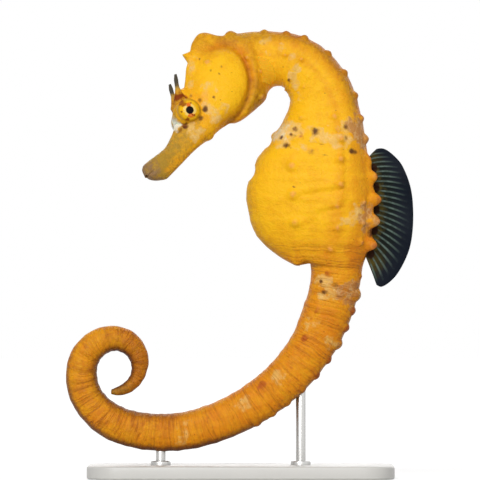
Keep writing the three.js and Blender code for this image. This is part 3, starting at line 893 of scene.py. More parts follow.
@dataclass
class EyeTurret:
    """The turret of skin that each eye sits in, with the lid's rim round the opening."""

    home: tuple[float, float, float] = (23.65, 6.25, 4.2)  # along, up and out
    right_ahead: float = -0.5  # the right eye is swung forwards and down
    right_up: float = -1.4
    radius: float = 3.95
    depth: float = 4.7
    sunk: float = 2.3
    opening: float = 3.3
    rim: float = 0.14
    blending: float = 6.0

    def at(self, side: Side) -> tuple[float, float, float]:
        """Finds one side's eye.

        Args:
            side: which eye.

        Returns:
            Its distance along, height up and distance out to the left.
        """
        along, up, out = self.home
        if side is Side.RIGHT:
            along, up = along + self.right_ahead, up + self.right_up
        return along, up, out * side.value

    def raise_over(self, body: Body, points: Places, side: Side) -> Places:
        """Pushes the skin out over the turret, and in again under the eyeball.

        Args:
            body: the body that the turret is on.
            points: the skin, with the head straight on.
            side: which eye.

        Returns:
            The skin with the turret.
        """
        home = self.at(side)
        ahead, up, left = body.flat_axes(home, points)
        out = left * side.value + self.sunk
        size = np.sqrt((ahead / self.radius) ** 2 + (up / self.radius) ** 2 + (out / self.depth) ** 2)
        push = (size**self.blending + 1) ** (1 / self.blending) / np.maximum(size, 0.05)
        push = 1 + (push - 1) * smooth_step(size, 2.2, 1.2)
        ahead, up, out = ahead * push, up * push, out * push
        round_axis = np.hypot(ahead, up)
        out = out + self.rim * bell(round_axis, self.opening + 0.35, 0.3) * (out > 0)
        inside = smooth_step(round_axis, self.opening + 0.16, self.opening - 0.16) * (out > 0)
        out = out * (1 - inside) + (self.sunk - 0.4) * inside
        moved = body.near(home, ahead, up, (out - self.sunk) * side.value)
        near_eye = (size < 2.2)[..., None]
        return np.where(near_eye, moved, points)


@dataclass
class Coronet:
    """The low crown on the back of the head, and the thorn on the forehead."""

    crest: Curve = Curve((
        (36.0, 0), (38.2, 0.4), (40.5, 0.75), (42.4, 1.35), (43.8, 1.95), (45.5, 2.35), (46.9, 2.85), (47.8, 2.35),
        (48.8, 0.4), (50.0, -0.7), (51.3, -0.1), (52, 0),
    ))
    half_width: float = 3.2
    thorn_home: tuple[float, float] = (40.3, 0.0)  # along and angle
    thorn_height: float = 2.3
    thorn_radius: float = 2.0
    thorn_sharpness: float = 1.15


@dataclass
class Skin:
    """The one skin of the animal, from the lips to the tail's tip."""

    body: Body
    sides: int = 16
    lengths: int = 93
    levels: int = 3
    ring_density: Curve = Curve(((0, 5.5), (3, 4.2), (16, 4.2), (22, 4.6), (50, 3.6), (70, 2.7), (290, 2.1)))
    gill: GillCover = field(default_factory=GillCover)
    turret: EyeTurret = field(default_factory=EyeTurret)
    coronet: Coronet = field(default_factory=Coronet)
    trunk_rings: tuple[float, ...] = (
        58.5, 65.5, 72, 78, 84, 89.6, 95, 100.6, 106.3, 112.6, 119.2, 125.9,
        134.8, 140.3, 146.6, 153.4, 159.5, 165.4, 170.9, 176.4,
    )
    tail_pitch: Curve = Curve(((176, 5.4), (230, 4.4), (285, 2.2)))
    ring_height: float = 0.16
    flank_spread: float = 5.0  # of the orange on the flank's row of tubercles, in degrees
    throat_folds: float = 0.3
    leather_depth: float = 0.05
    mouth_depth: float = 0.4
    nostril: tuple[float, float] = (17.6, 38)  # along and angle
    nostril_depth: float = 0.35
    nostril_radius: float = 0.6
    trunk: tuple[float, ...] = (54, 64, 128, 138)  # where its colours begin, are full, fade and end
    saddle_at: float = 21.2  # the dip between the eyes
    saddle_depth: float = 1.1
    vent_lip: Curve = Curve((  # how far on the belly's rear wall stands, by its height
        (-17.0, 0), (-14.7, 0.5), (-13.6, 0.95), (-12.8, 1.25), (-12.0, 1.3), (-11.0, 0.6), (-9.9, -0.4), (-8.8, -0.8),
        (-7.8, -0.5), (-7.0, 0),
    ))
    belly_creases: tuple[Curve, ...] = (  # how far along each crease is, by its angle
        Curve(((84, 110.0), (94, 110.2), (107, 111.1), (122, 112.8))),
        Curve(((82, 114.9), (91, 115.3), (97, 116.1), (104, 117.5), (107, 119.1), (114, 121.2))),
    )
    wrinkles: Curve = Curve((  # how deep the small folds are
        (0, 0), (3, 0.01), (14, 0.03), (24, 0.05), (50, 0.05), (60, 0.12), (80, 0.09), (95, 0.07), (120, 0.06),
        (130, 0.1), (138, 0.12), (160, 0.09), (200, 0.1), (287, 0.05),
    ))
    orange: Curve = Curve((  # how orange the body is
        (0, 0.6), (16, 0.45), (26, 0.3), (36, 0.18), (46, 0.34), (55, 0.3), (62, 0.08), (76, 0.0), (100, 0.02),
        (118, 0.08), (127, 0.35), (136, 0.72), (150, 0.86), (205, 0.86), (238, 0.8), (256, 0.8), (270, 0.95),
        (287, 1.0),
    ))
    stripes: Curve = Curve((  # how plain the fine stripes are
        (0, 0), (50, 0.03), (60, 0.14), (72, 0.16), (84, 0.06), (118, 0.08), (124, 0.2), (129, 0.7), (136, 0.9),
        (150, 0.8), (168, 0.85), (280, 0.9), (287, 0.3),
    ))
    nose: Curve = Curve(((0, 1.0), (4, 0.84), (8, 0.62), (15, 0.5), (21, 0.4), (26, 0.12), (30, 0)))  # how dull it is
    curl: Curve = Curve(((232, 0), (250, 0.06), (262, 0.3), (272, 0.45), (287, 0.45)))  # how much painted shade lies on the tail's curl
    # how much painted shade lies along the tail's outer edge, by the distance along
    tail_edge_shade: Curve = Curve(((132, 0), (142, 0.4), (178, 0.45), (200, 0.8), (235, 0.75), (262, 0)))
    nodes: tuple[str, ...] = (
        "mouth", "snout", "head", "coronet", "gill_cover_left", "gill_cover_right", "neck_upper", "neck_lower", "chest",
        "trunk", "belly",
    )

    def build(self) -> Piece:
        """Models, poses and paints the skin, closes its ends and shades it smooth.

        Returns:
            The skin.
        """
        piece = self.blank()
        self.lay_out(piece)
        self.carve()
        Bench.move_to(piece, self.points.reshape(-1, 3)[self.rank] * MM)
        for paint, values in self.paints().items():
            Bench.paint(piece, paint.value, values.reshape(-1)[self.rank])
        self.close_ends(piece)
        Bench.face_outwards(piece)
        Bench.smooth(piece)
        return piece

    def patches(self) -> dict[Paint, Places]:
        """Works out how much of each paint its patches lay on each place of the grid.

        Returns:
            The amounts, most of them from 0 to 1.
        """
        uneven = 1 + 0.45 * Grain(21)(self.along / 1.7, self.left / 1.7 + 30, self.up / 1.7 + 30)
        amounts = {paint: np.zeros(self.along.shape) for paint in Paint}
        for paint, patches in PATCHES.items():
            for patch in patches:
                for side in patch.sides:
                    window, far = self.near_spot(self.straight, patch.along, patch.angle, side, patch.radius + 3)
                    laid = patch.strength * knob(far * uneven[window], patch.radius, 1.0)
                    amounts[paint][window] = np.maximum(amounts[paint][window], laid)
        return amounts

    def paints(self) -> dict[Paint, Places]:
        """Works out how much of each paint is on each place of the grid, in patches and in broad washes.

        Returns:
            The amounts, most of them from 0 to 1.
        """
        along, angle, up = self.along, np.degrees(np.abs(self.angle)), self.up
        amounts = self.patches()
        on_trunk = plateau(along, *self.trunk)
        out, rear = self.gill.shares(along, up)
        groove, outside = self.gill.groove(along, up), bell(out, 1.35, 0.25) * rear
        amounts[Paint.TONE] = (
            self.orange(along)
            + on_trunk * (0.5 * smooth_step(angle, 95, 60) + 0.45 * smooth_step(angle, 50, 12))
            + 0.35 * on_trunk * bell(angle, FLANK_ROW(along), self.flank_spread)
            - 0.3 * smooth_step(out, 1.05, 0.5)
            # more orange on the band behind the gill cover and in its groove: partly painted shade in the groove
            + 0.1 * outside
            + 0.45 * groove
        )
        amounts[Paint.BLUSH] = np.maximum(self.tips, amounts[Paint.BLUSH])
        # The shade paint: painted shade on the tail's curl and its inner side, along the tail's outer edge and in the
        # gill's groove; darker on the band behind the groove, over the tail's later part and in the washes.
        curl = self.curl(along) + 0.2 * plateau(along, 195, 213, 244, 256)
        amounts[Paint.SHADE] = np.max([
            amounts[Paint.SHADE],
            curl + 0.5 * smooth_step(along, 176, 225) * smooth_step(angle, 100, 165),
            self.tail_edge_shade(along) * smooth_step(angle, 66, 25),
            0.28 * outside,
            groove * (0.15 + 0.35 * smooth_step(up, 11, -4)),
            *(wash.laid(along, angle) for wash in SHADES),
        ], axis=0)
        under_nose = 1 - 0.45 * smooth_step(angle, 85, 135) * smooth_step(along, 2, 6)
        amounts[Paint.DULL] = np.clip(self.nose(along) * under_nose + 0.5 * smooth_step(along, 276, 286), 0, 1)
        amounts[Paint.STRIPES] = self.stripes(along)
        return amounts

    def blank(self) -> Piece:
        """Models the straight body: a ring, extruded length by length to each section's size.

        Returns:
            The blank, whose UV map holds the share of its length and of the way round from the belly.
        """
        piece = Bench.add("skin", bpy.ops.mesh.primitive_circle_add, vertices=self.sides, radius=MM,
                          fill_type="NOTHING", rotation=(0, math.pi / 2, 0))
        step = self.body.tip / self.lengths
        Bench.edit(piece)
        size = (1.0, 1.0)
        for number in range(self.lengths + 1):
            place = number * step
            wanted = (float(self.body.half(place)), float(self.body.back(place) + self.body.belly(place)) / 2)
            if number > 0:
                bpy.ops.mesh.extrude_region_move(TRANSFORM_OT_translate={"value": (step * MM, 0, 0)})
            bpy.ops.transform.resize(value=(1, wanted[0] / size[0], wanted[1] / size[1]))
            size = wanted
        Bench.close()
        self.map_blank(piece, step)
        Bench.modify(piece, "SUBSURF", subdivision_type="SIMPLE", levels=self.levels,
                     render_levels=self.levels, uv_smooth="NONE")
        return piece

    def map_blank(self, piece: Piece, step: float) -> None:
        """Gives the blank its UV map, with the seam along the belly.

        Args:
            piece: the blank before it is subdivided.
            step: the length between its rings.
        """
        places = Bench.places(piece) / MM
        ring = np.rint(places[:, 0] / step).astype(int)
        wide = self.body.half(ring * step)
        tall = (self.body.back(ring * step) + self.body.belly(ring * step)) / 2
        angle = np.arctan2(-places[:, 1] / wide, places[:, 2] / tall) + np.pi
        column = np.rint(angle / (2 * np.pi) * self.sides).astype(int) % self.sides
        corners = Bench.corners(piece)
        across = column[corners].reshape(-1, 4)
        wraps = (across.max(1) - across.min(1) > 1)[:, None]
        across = np.where(wraps & (across == 0), self.sides, across)
        uv = np.stack([ring[corners] / self.lengths, across.ravel() / self.sides], -1)
        layer = piece.data.uv_layers.new(name="OFBake")
        layer.data.foreach_set("uv", uv.ravel())

    def lay_out(self, piece: Piece) -> None:
        """Finds where each vertex of the subdivided blank is in the body's grid, and gathers the grid.

        Args:
            piece: the subdivided blank.
        """
        rows, columns = self.lengths * 2**self.levels, self.sides * 2**self.levels
        layer = piece.data.uv_layers["OFBake"].data
        uv = np.empty(len(layer) * 2)
        layer.foreach_get("uv", uv)
        uv = uv.reshape(-1, 2)
        grid = np.rint(uv * (rows, columns)).astype(int)
        self.rank = np.empty(len(piece.data.vertices), int)
        self.rank[Bench.corners(piece)] = grid[:, 0] * columns + grid[:, 1] % columns
        fine = np.linspace(self.body.lips, self.body.tip, 4000)
        along = spaced(fine, self.ring_density(fine), rows + 1)
        self.along = np.repeat(along[:, None], columns, axis=1)
        self.angle = np.radians([self.column_angles(place, columns) for place in along])
        uv[:, 0] = np.interp(uv[:, 0], np.linspace(0, 1, rows + 1), along / self.body.tip)
        layer.foreach_set("uv", uv.ravel())

    def column_angles(self, place: float, columns: int) -> Places:
        """The angles of one ring's vertices from the back, gathered where the skin has small forms.

        Args:
            place: the ring's distance along the body.
            columns: how many vertices it has.

        Returns:
            The angles from the belly's seam round, -180 to 180, rising to the left.
        """
        fine = np.linspace(0, 180, 361)
        at_eye = float(knob(place - self.turret.home[0], 10))
        on_trunk = float(plateau(place, 88, 100, 128, 140))
        density = 1 + 1.3 * at_eye * bell(fine, 45, 30)
        for row in (25, 84, 122):
            density = density + 0.9 * on_trunk * bell(fine, row, 9)
        half = spaced(fine, density, columns // 2 + 1)
        return np.concatenate([-half[:0:-1], half[:-1]])

    def carve(self) -> None:
        """Works out the posed skin: the bare body, then its large forms, then its small relief."""
        along, body = self.along, self.body
        up, left = body.outline(along, self.angle)
        self.up, self.left = up, left
        swell = self.gill.swell(along, up) * np.clip(left / 1.5, -1, 1)
        crest = self.coronet.crest(along) * knob(left, self.coronet.half_width)
        crest = (crest - self.saddle_depth * knob(along - self.saddle_at, 3.0) * knob(left, 3.6)) * (up > 0)
        lips = smooth_step(along, 1.3, 0)
        raised = (up + 0.2) * (1 - 0.72 * lips) - 0.2 + crest
        points = body.point(along, raised, (left + swell) * (1 + 0.5 * lips))
        heading = body.midline.at(along)[2]
        on = self.vent_lip(up) * plateau(along, 129.6, 132.4, 133.5, 136.4) * smooth_step(np.abs(left), 8, 5)
        points = points + np.stack([on * np.cos(heading), 0 * on, on * np.sin(heading)], -1)
        for side in Side:
            points = self.turret.raise_over(body, points, side)
        self.straight = points + self.normals(points) * self.relief(points)[..., None]
        self.points = body.turned(self.straight, along)

    @staticmethod
    def normals(points: Places) -> Places:
        """Finds the outward normals of the body's grid.

        Args:
            points: the grid's places.

        Returns:
            The normal at each.
        """
        on = np.gradient(points, axis=0)
        round_it = np.roll(points, -1, axis=1) - np.roll(points, 1, axis=1)
        normal = np.cross(on, round_it)
        normal /= np.maximum(np.linalg.norm(normal, axis=-1, keepdims=True), 1e-9)
        outward = points - points.mean(axis=1, keepdims=True)
        if (normal * outward).sum() < 0:
            normal = -normal
        return normal

    def relief(self, points: Places) -> Places:
        """How far the skin's small forms stand out: tubercles, rings, folds and wrinkles.

        Args:
            points: the skin with its large forms only.

        Returns:
            The height over it.
        """
        along, angle = self.along, np.abs(self.angle)
        lift = np.zeros(along.shape)
        self.tips = np.zeros(along.shape)
        for row in TUBERCLES:
            for ring in row.rings:
                for side in Side:
                    window, far = self.near_spot(points, ring, row.angle, side, row.radius + 2)
                    lift[window] += row.height * knob(far, row.radius, row.sharpness)
                    self.tips[window] += row.blush * knob(far, row.radius * 0.8, 1.5)
        return lift + self.rings(along, angle) + self.folds(along, angle) + self.mouth_and_nose(points)

    def near_spot(
        self, points: Places, along: float, angle: float, side: Side, reach: float = np.inf
    ) -> tuple[Places, Places]:
        """Finds the places of the grid near a spot on the skin.

        Args:
            points: the skin, with the head straight on.
            along: the spot's distance along the body.
            angle: its angle from the back, in degrees.
            side: which side it is on.
            reach: how far along the body from it the places may be.

        Returns:
            Which rings of the grid are in reach, and how far each of their places is from the spot.
        """
        off = np.abs(self.along[:, 0] - along)
        row, window = int(off.argmin()), off < reach
        column = int(np.abs(self.angle[row] - math.radians(angle) * side.value).argmin())
        return window, np.linalg.norm(points[window] - points[row, column], axis=-1)

    def rings(self, along: Places, angle: Places) -> Places:
        """Works out the edges of the bony rings, and the ridges that link them down the flanks.

        Args:
            along: distance along the body.
            angle: in radians from the back, the same on both sides.

        Returns:
            The height over the skin.
        """
        places = list(self.trunk_rings)
        while places[-1] < self.body.tip - 6:
            places.append(places[-1] + float(self.tail_pitch(places[-1])))
        edges = sum(self.ring_height * bell(along, place, 0.9) for place in places)
        linked = sum(ridge.lift(along, angle) for ridge in RIDGES)
        return edges * smooth_step(along, 54, 60) * (0.6 + 0.4 * np.sin(angle)) + linked

    def folds(self, along: Places, angle: Places) -> Places:
        """Works out the wrinkles that run round the body, deepest in the throat, the vent and the tail.

        Args:
            along: distance along the body.
            angle: in radians from the back, the same on both sides.

        Returns:
            The height over the skin.
        """
        throat = self.throat_folds * knob(along - 68, 12) * smooth_step(angle, 1.7, 2.7)
        across, down = self.left / 9 + 10, self.up / 9 + 10
        wave = Grain(3)(along / 2.1, across, down) * 0.7 + Grain(5)(along, across * 1.6, down * 1.6) * 0.45
        leather = Grain(8)(along / 2.6 + 5, self.left / 2.6 + 20, self.up / 2.6 + 20)
        degrees, creased = np.degrees(angle), 0.0
        for line in self.belly_creases:
            first, second, *_, late, last = (row[0] for row in line.rows)
            off = along - line(degrees)
            crease = 0.3 * bell(off, -1.6, 1.3) - 0.4 * bell(off, 0, 0.7)
            creased = creased + plateau(degrees, first, second, late, last) * crease
        leather = self.leather_depth * leather * smooth_step(along, 1, 6)
        return (self.wrinkles(along) + throat) * wave + leather + creased

    def mouth_and_nose(self, points: Places) -> Places:
        """Works out the mouth's corners, the nostrils and the thorn on the forehead.

        Args:
            points: the skin with its large forms only.

        Returns:
            The height over it.
        """
        lift = -self.mouth_depth * bell(self.up, -0.35, 0.45) * plateau(self.along, 0, 0.8, 1.6, 3.2)
        for side in Side:
            lift = lift - self.nostril_depth * knob(self.near_spot(points, *self.nostril, side)[1], self.nostril_radius)
        crown = self.coronet
        _, far = self.near_spot(points, *crown.thorn_home, Side.LEFT)
        return lift + crown.thorn_height * np.clip(1 - far / crown.thorn_radius, 0, 1) ** crown.thorn_sharpness

    def close_ends(self, piece: Piece) -> None:
        """Takes the lips in to the mouth's floor, and closes the tail's tip.

        Args:
            piece: the posed skin, open at both ends.
        """
        mouth_floor = ((0.85, -0.5), (0.7, -0.7), (0.5, -0.2))
        tail_tip = ((0.7, 0.12), (0.5, 0.06))
        for row, beside, steps in ((0, 1, mouth_floor), (-1, -2, tail_tip)):
            ring = self.points[row] * MM
            centre = ring.mean(axis=0)
            outward = centre - self.points[beside].mean(axis=0) * MM
            outward = outward / np.linalg.norm(outward)
            Bench.edit(piece, lambda places: self.touches(places, ring))
            for scale, shift in steps:
                bpy.ops.mesh.extrude_region_move(TRANSFORM_OT_translate={"value": tuple(outward * shift * MM)})
                bpy.ops.transform.resize(value=(scale,) * 3)
            bpy.ops.mesh.merge(type="CENTER")
            Bench.close()

    @staticmethod
    def touches(places: Places, ring: Places) -> Places:
        """Tells which places are on a ring of points.

        Args:
            places: the places.
            ring: the ring.

        Returns:
            Whether each place is on it.
        """
        close = np.linalg.norm(places - ring.mean(axis=0), axis=-1) < 5 * MM
        near = np.full(len(places), np.inf)
        near[close] = np.linalg.norm(places[close][:, None] - ring[None], axis=-1).min(axis=1)
        return near < 1e-3 * MM


# ---------------------------------------------------------------- eyes, fronds and fins


@dataclass
class Eye:
    """One eyeball, a little flattened, that looks forwards and down from its turret."""

    body: Body
    side: Side
    turret: EyeTurret
    radius: float = 3.6
    depth: float = 2.75
    gaze_ahead: float = -14.5  # the pupil's place from the ball's outer pole
    gaze_up: float = -5.0
    pupil: float = 1.2  # radius
    pupil_depth: float = 0.22
    iris_height: float = 0.1
    lobe_tilt: float = 25.0  # towards the neck
    blotches: Rows = (  # ahead of the pupil, above it, and radius
        (-0.2, 3.0, 1.35), (0.1, 2.2, 0.8), (1.7, 1.3, 0.45), (0.0, -2.1, 0.45), (-0.4, -1.5, 0.4), (-2.3, -1.6, 0.8),
        (-2.2, 1.2, 0.5),
    )

    def build(self) -> Piece:
        """Models the eyeball: a ball, flattened, with its pupil sunk in the iris.

        Returns:
            The eye.
        """
        piece = Bench.add(f"eye_{self.side.label}", bpy.ops.mesh.primitive_uv_sphere_add,
                          segments=64, ring_count=48, radius=MM)
        ball = Bench.places(piece) / MM
        out = np.arccos(np.clip(ball[:, 2], -1, 1)) * self.radius  # along the ball's face from its pole
        pit = self.pupil_depth * smooth_step(out, self.pupil * 1.12, self.pupil * 0.8)
        iris = self.iris_height * bell(out, 2.1, 0.55)
        size = 1 + (iris - pit) / self.radius
        ball = ball * size[:, None]
        turned = self.look(ball)
        home = self.turret.at(self.side)
        points = self.body.near(home, *(turned * (self.radius, self.radius, self.depth * self.side.value)).T)
        points = self.body.turned(points, home[0])
        Bench.paint(piece, "out", out)
        Bench.paint(piece, "pale", smooth_step(turned[:, 0], -0.3, -0.7) * float(self.side is Side.RIGHT))
        for name, values in self.marks(ball * self.radius).items():
            Bench.paint(piece, name, values)
        Bench.move_to(piece, points * MM)
        Bench.face_outwards(piece)
        Bench.smooth(piece)
        return piece

    def marks(self, ball: Places) -> dict[str, Places]:
        """Works out the iris's red lobes above and below the pupil, and its brown blotches.

        Args:
            ball: places on the ball, in the eye's own axes.

        Returns:
            The two paints.
        """
        tilt = math.radians(self.lobe_tilt)
        upright = ball[:, 1] * math.cos(tilt) + ball[:, 0] * math.sin(tilt)
        wide = np.hypot(ball[:, 0], ball[:, 1])
        blotch = np.zeros(len(ball))
        for ahead, up, radius in self.blotches:
            far = np.hypot(ball[:, 0] - ahead, ball[:, 1] - up)
            blotch = np.maximum(blotch, knob(far, radius, 1.0))
        return {"lobes": 2 * (upright / np.maximum(wide, 0.01)) ** 2 - 1, "blotch": blotch}

    def look(self, ball: Places) -> Places:
        """Turns the ball so that its pupil looks where the eye does.

        Args:
            ball: places on a ball of radius 1 with the pupil at +Z.

        Returns:
            The turned places: ahead, up and outwards.
        """
        sideways, upwards = math.radians(self.gaze_ahead), math.radians(self.gaze_up)
        x, y, z = ball.T
        x, z = x * math.cos(sideways) + z * math.sin(sideways), z * math.cos(sideways) - x * math.sin(sideways)
        y, z = y * math.cos(upwards) + z * math.sin(upwards), z * math.cos(upwards) - y * math.sin(upwards)
        return np.stack([x, y, z], -1)


@dataclass
class BrowFrond:
    """The soft filament that stands over each eye."""

    body: Body
    side: Side
    along: float = 23.7
    up: float = 8.3
    out: float = 2.3
    length: float = 10.2
    shorter_right: float = 0.7
    lower_right: float = 0.8
    steeper_right: float = 6.0
    root_radius: float = 2.5
    lean: float = 62.5
    bend: float = 1.1
    spread: float = 0.3
    flatness: float = 0.8  # its thickness as a share of its width
    knots: float = 0.08
    taper: Curve = Curve((
        (0, 0.2), (0.1, 0.7), (0.2, 0.85), (0.32, 0.65), (0.45, 0.42), (0.6, 0.28), (0.85, 0.25), (0.96, 0.24),
        (1, 0.16),
    ))

    def build(self) -> Piece:
        """Models the frond: a cone with cuts along it, curved, with soft knots near its tip.

        Returns:
            The frond.
        """
        piece = Bench.add(f"brow_frond_{self.side.label}", bpy.ops.mesh.primitive_cylinder_add,
                          vertices=20, radius=MM, depth=MM, end_fill_type="NGON")
        Bench.edit(piece)
        for cut in np.linspace(-0.46, 0.46, 24):
            bpy.ops.mesh.select_all(action="SELECT")
            bpy.ops.mesh.bisect(plane_co=(0, 0, cut * MM), plane_no=(0, 0, 1))
        Bench.close()
        rod = Bench.places(piece) / MM
        share = rod[:, 2] + 0.5
        knots = self.knots * np.sin(share * 31) * smooth_step(share, 0.3, 0.6)
        radius = self.root_radius * self.taper(share) * (1 + knots)
        right = float(self.side is Side.RIGHT)
        lean = math.radians(self.lean + self.steeper_right * right)
        rise = share * (self.length - self.shorter_right * right)
        across = rod[:, 0] * radius - self.bend * share**2
        home = (self.along, self.up - self.lower_right * right, self.out * self.side.value)
        points = self.body.near(
            home,
            rise * math.cos(lean) - across * math.sin(lean),
            rise * math.sin(lean) + across * math.cos(lean),
            rod[:, 1] * radius * self.flatness + self.side.value * self.spread * share**2,
        )
        Bench.paint(piece, "share", np.maximum(share, 0.42 * right))
        Bench.move_to(piece, self.body.turned(points, self.along) * MM)
        Bench.face_outwards(piece)
        Bench.smooth(piece, 60)
        return piece


@dataclass
class Fin:
    """A thin fin: a slab of rays and webs, laid out by the share along its base and out along its rays."""

    body: Body
    name: str
    rays: int = 4
    thickness: float = 0.34
    ridge: float = 0.06  # how far the rays stand out
    rows: int = 12
    columns_per_ray: int = 8
    drift: float = 0.0  # how far the rays sweep back over the fin's own grid, most at its start

    def place(self, share: Places, out: Places, across: Places) -> Places:
        """Lays the fin out.

        Args:
            share: the share along its base.
            out: the share out along its rays.
            across: how far the places are from its middle surface.

        Returns:
            The places.
        """
        raise NotImplementedError

    def build(self) -> Piece:
        """Models the fin, its root sunk in the skin.

        Returns:
            The fin, with its shares and its rays painted on it.
        """
        piece = Bench.add(self.name, bpy.ops.mesh.primitive_grid_add, size=MM,
                          x_subdivisions=self.rays * self.columns_per_ray, y_subdivisions=self.rows)
        Bench.edit(piece)
        bpy.ops.mesh.extrude_region_move(TRANSFORM_OT_translate={"value": (0, 0, MM)})
        Bench.close()
        slab = Bench.places(piece) / MM
        # FIXME: at the root, out is a rounding error below 0, so out**1.4 isn't a number there, and the root's row
        # of vertices has no valid place. Clipping out to 0 and 1 here would mend it.
        share, out = slab[:, 0] + 0.5, slab[:, 1] + 0.5
        face = np.where(slab[:, 2] > 0.5, 1.0, -1.0)
        ray = (share - self.drift * (1 - 0.85 * share) * out**1.4) * self.rays
        on_ray = 0.5 - 0.5 * np.cos(ray * 2 * np.pi)
        edge = np.clip(np.minimum(1 - out, np.minimum(share, 1 - share) * self.rays / 3) * 9, 0, 1) ** 0.5
        half = (self.thickness / 2 + self.ridge * on_ray**1.5 * (1 - 0.75 * out)) * (0.35 + 0.65 * edge)
        Bench.paint(piece, "share", share)
        Bench.paint(piece, "out", out)
        Bench.paint(piece, "ray", ray)
        Bench.move_to(piece, self.place(share, out, face * half) * MM)
        Bench.face_outwards(piece)
        Bench.smooth(piece, 70)
        return piece


@dataclass
class DorsalFin(Fin):
    """The fan of the dorsal fin on the middle of the back."""

    rays: int = 22
    thickness: float = 0.42
    ridge: float = 0.12
    rows: int = 40
    columns_per_ray: int = 6
    drift: float = 0.12
    start: float = 99.8
    end: float = 129.8
    root_depth: float = 1.2
    curl: float = 0.9
    sway: float = 0.35
    # where along the body the dark hollows at the fin's root lie, with painted shadow in them
    hollows: tuple[float, ...] = (103.5, 109.2, 115.6, 121.9, 128.4)
    hollow_rise: float = 1.0
    hollow_size: tuple[float, float] = (1.9, 1.5)
    shape: Rows = (  # share along the base, length and lean towards the tail
        (0.0, 3.9, -54), (0.03, 5.8, -46), (0.08, 7.5, -37), (0.2, 10.0, -22), (0.45, 11.8, -2), (0.7, 12.4, 20),
        (0.86, 11.6, 41), (0.94, 10.4, 53), (0.98, 9.3, 59), (1.0, 7.7, 62),
    )

    def build(self) -> Piece:
        """Models the fin, with the amount of painted shadow in the dark hollows at its root painted on it too.

        Returns:
            The dorsal fin.
        """
        piece = super().build()
        Bench.paint(piece, "hollow_shadow", self.hollow_shadow_amount(piece))
        return piece

    def place(self, share: Places, out: Places, across: Places) -> Places:
        """Lays the fin out.

        Args:
            share: the share along its base.
            out: the share out along its rays.
            across: how far to the left the places are from its middle surface.

        Returns:
            The places.
        """
        length, lean = (curve(share) for curve in curves(self.shape))
        along, lean = self.start + (self.end - self.start) * share, np.radians(lean)
        reach = out * (length + self.root_depth) - self.root_depth
        rise = self.body.back(along) + 0.3 + reach * np.cos(lean)
        left = -across - self.sway * out**2 * np.sin(share * 17)
        return self.body.near((along, 0.0, 0.0), reach * np.sin(lean) + self.curl * out**2, rise, left)

    def hollow_shadow_amount(self, piece: Piece) -> Places:
        """Works out how much painted shadow lies on each place of the fin, in the dark hollows at its root.

        Args:
            piece: the fin in its place.

        Returns:
            The amount of painted shadow, 0 to 1.
        """
        points = Bench.places(piece) / MM
        depth = np.zeros(len(points))
        for along in self.hollows:
            ahead, rise, _ = self.body.flat_axes((along, self.body.back(along) + self.hollow_rise, 0.0), points)
            far = np.hypot(ahead / self.hollow_size[0], rise / self.hollow_size[1])
            depth = np.maximum(depth, knob(far, 1.0, 1.0))
        return depth


@dataclass
class PectoralFin(Fin):
    """The small round fin behind each gill cover, folded back along the neck."""

    side: Side = Side.LEFT
    rays: int = 15
    thickness: float = 0.3
    ridge: float = 0.05
    rows: int = 20
    columns_per_ray: int = 5
    root: Rows = ((0, 51.6, 1.3), (0.5, 50.4, -1.9), (1, 47.2, -5.4))  # share down it, along and up
    edge: Rows = ((0, 53.0, 1.4), (0.25, 55.1, -0.6), (0.55, 56.0, -4.3), (0.8, 54.4, -7.1), (1, 50.6, -7.6))
    flare: float = 0.45
    clearance: float = 0.35
    root_depth: float = 0.8

    def place(self, share: Places, out: Places, across: Places) -> Places:
        """Lays the fin out.

        Args:
            share: the share down its root.
            out: the share out along its rays.
            across: how far outwards the places are from its middle surface.

        Returns:
            The places.
        """
        pairs = zip(curves(self.root), curves(self.edge))
        along, up = (inner(share) * (1 - out) + outer(share) * out for inner, outer in pairs)
        lift = self.clearance + self.flare * out - self.root_depth * (1 - out) ** 3
        left = self.body.side_at(along, up) + lift + across
        return self.body.turned(self.body.point(along, up, left * self.side.value), along)


@dataclass
class AnalFin(Fin):
    """The tiny anal fin in the corner under the belly's end."""

    along: float = 132.4
    below: float = 11.3  # the midline
    length: float = 1.3
    root_depth: float = 0.7
    width: float = 1.4
    taper: float = 0.3

    def place(self, share: Places, out: Places, across: Places) -> Places:
        """Lays the fin out, straight on along the body, from the share down its base and out along its rays."""
        along = self.along + out * (self.length + self.root_depth) * (1 - self.taper * share)
        return self.body.point(along, -self.below - share * self.width, across)


# ---------------------------------------------------------------- the stand and the studio


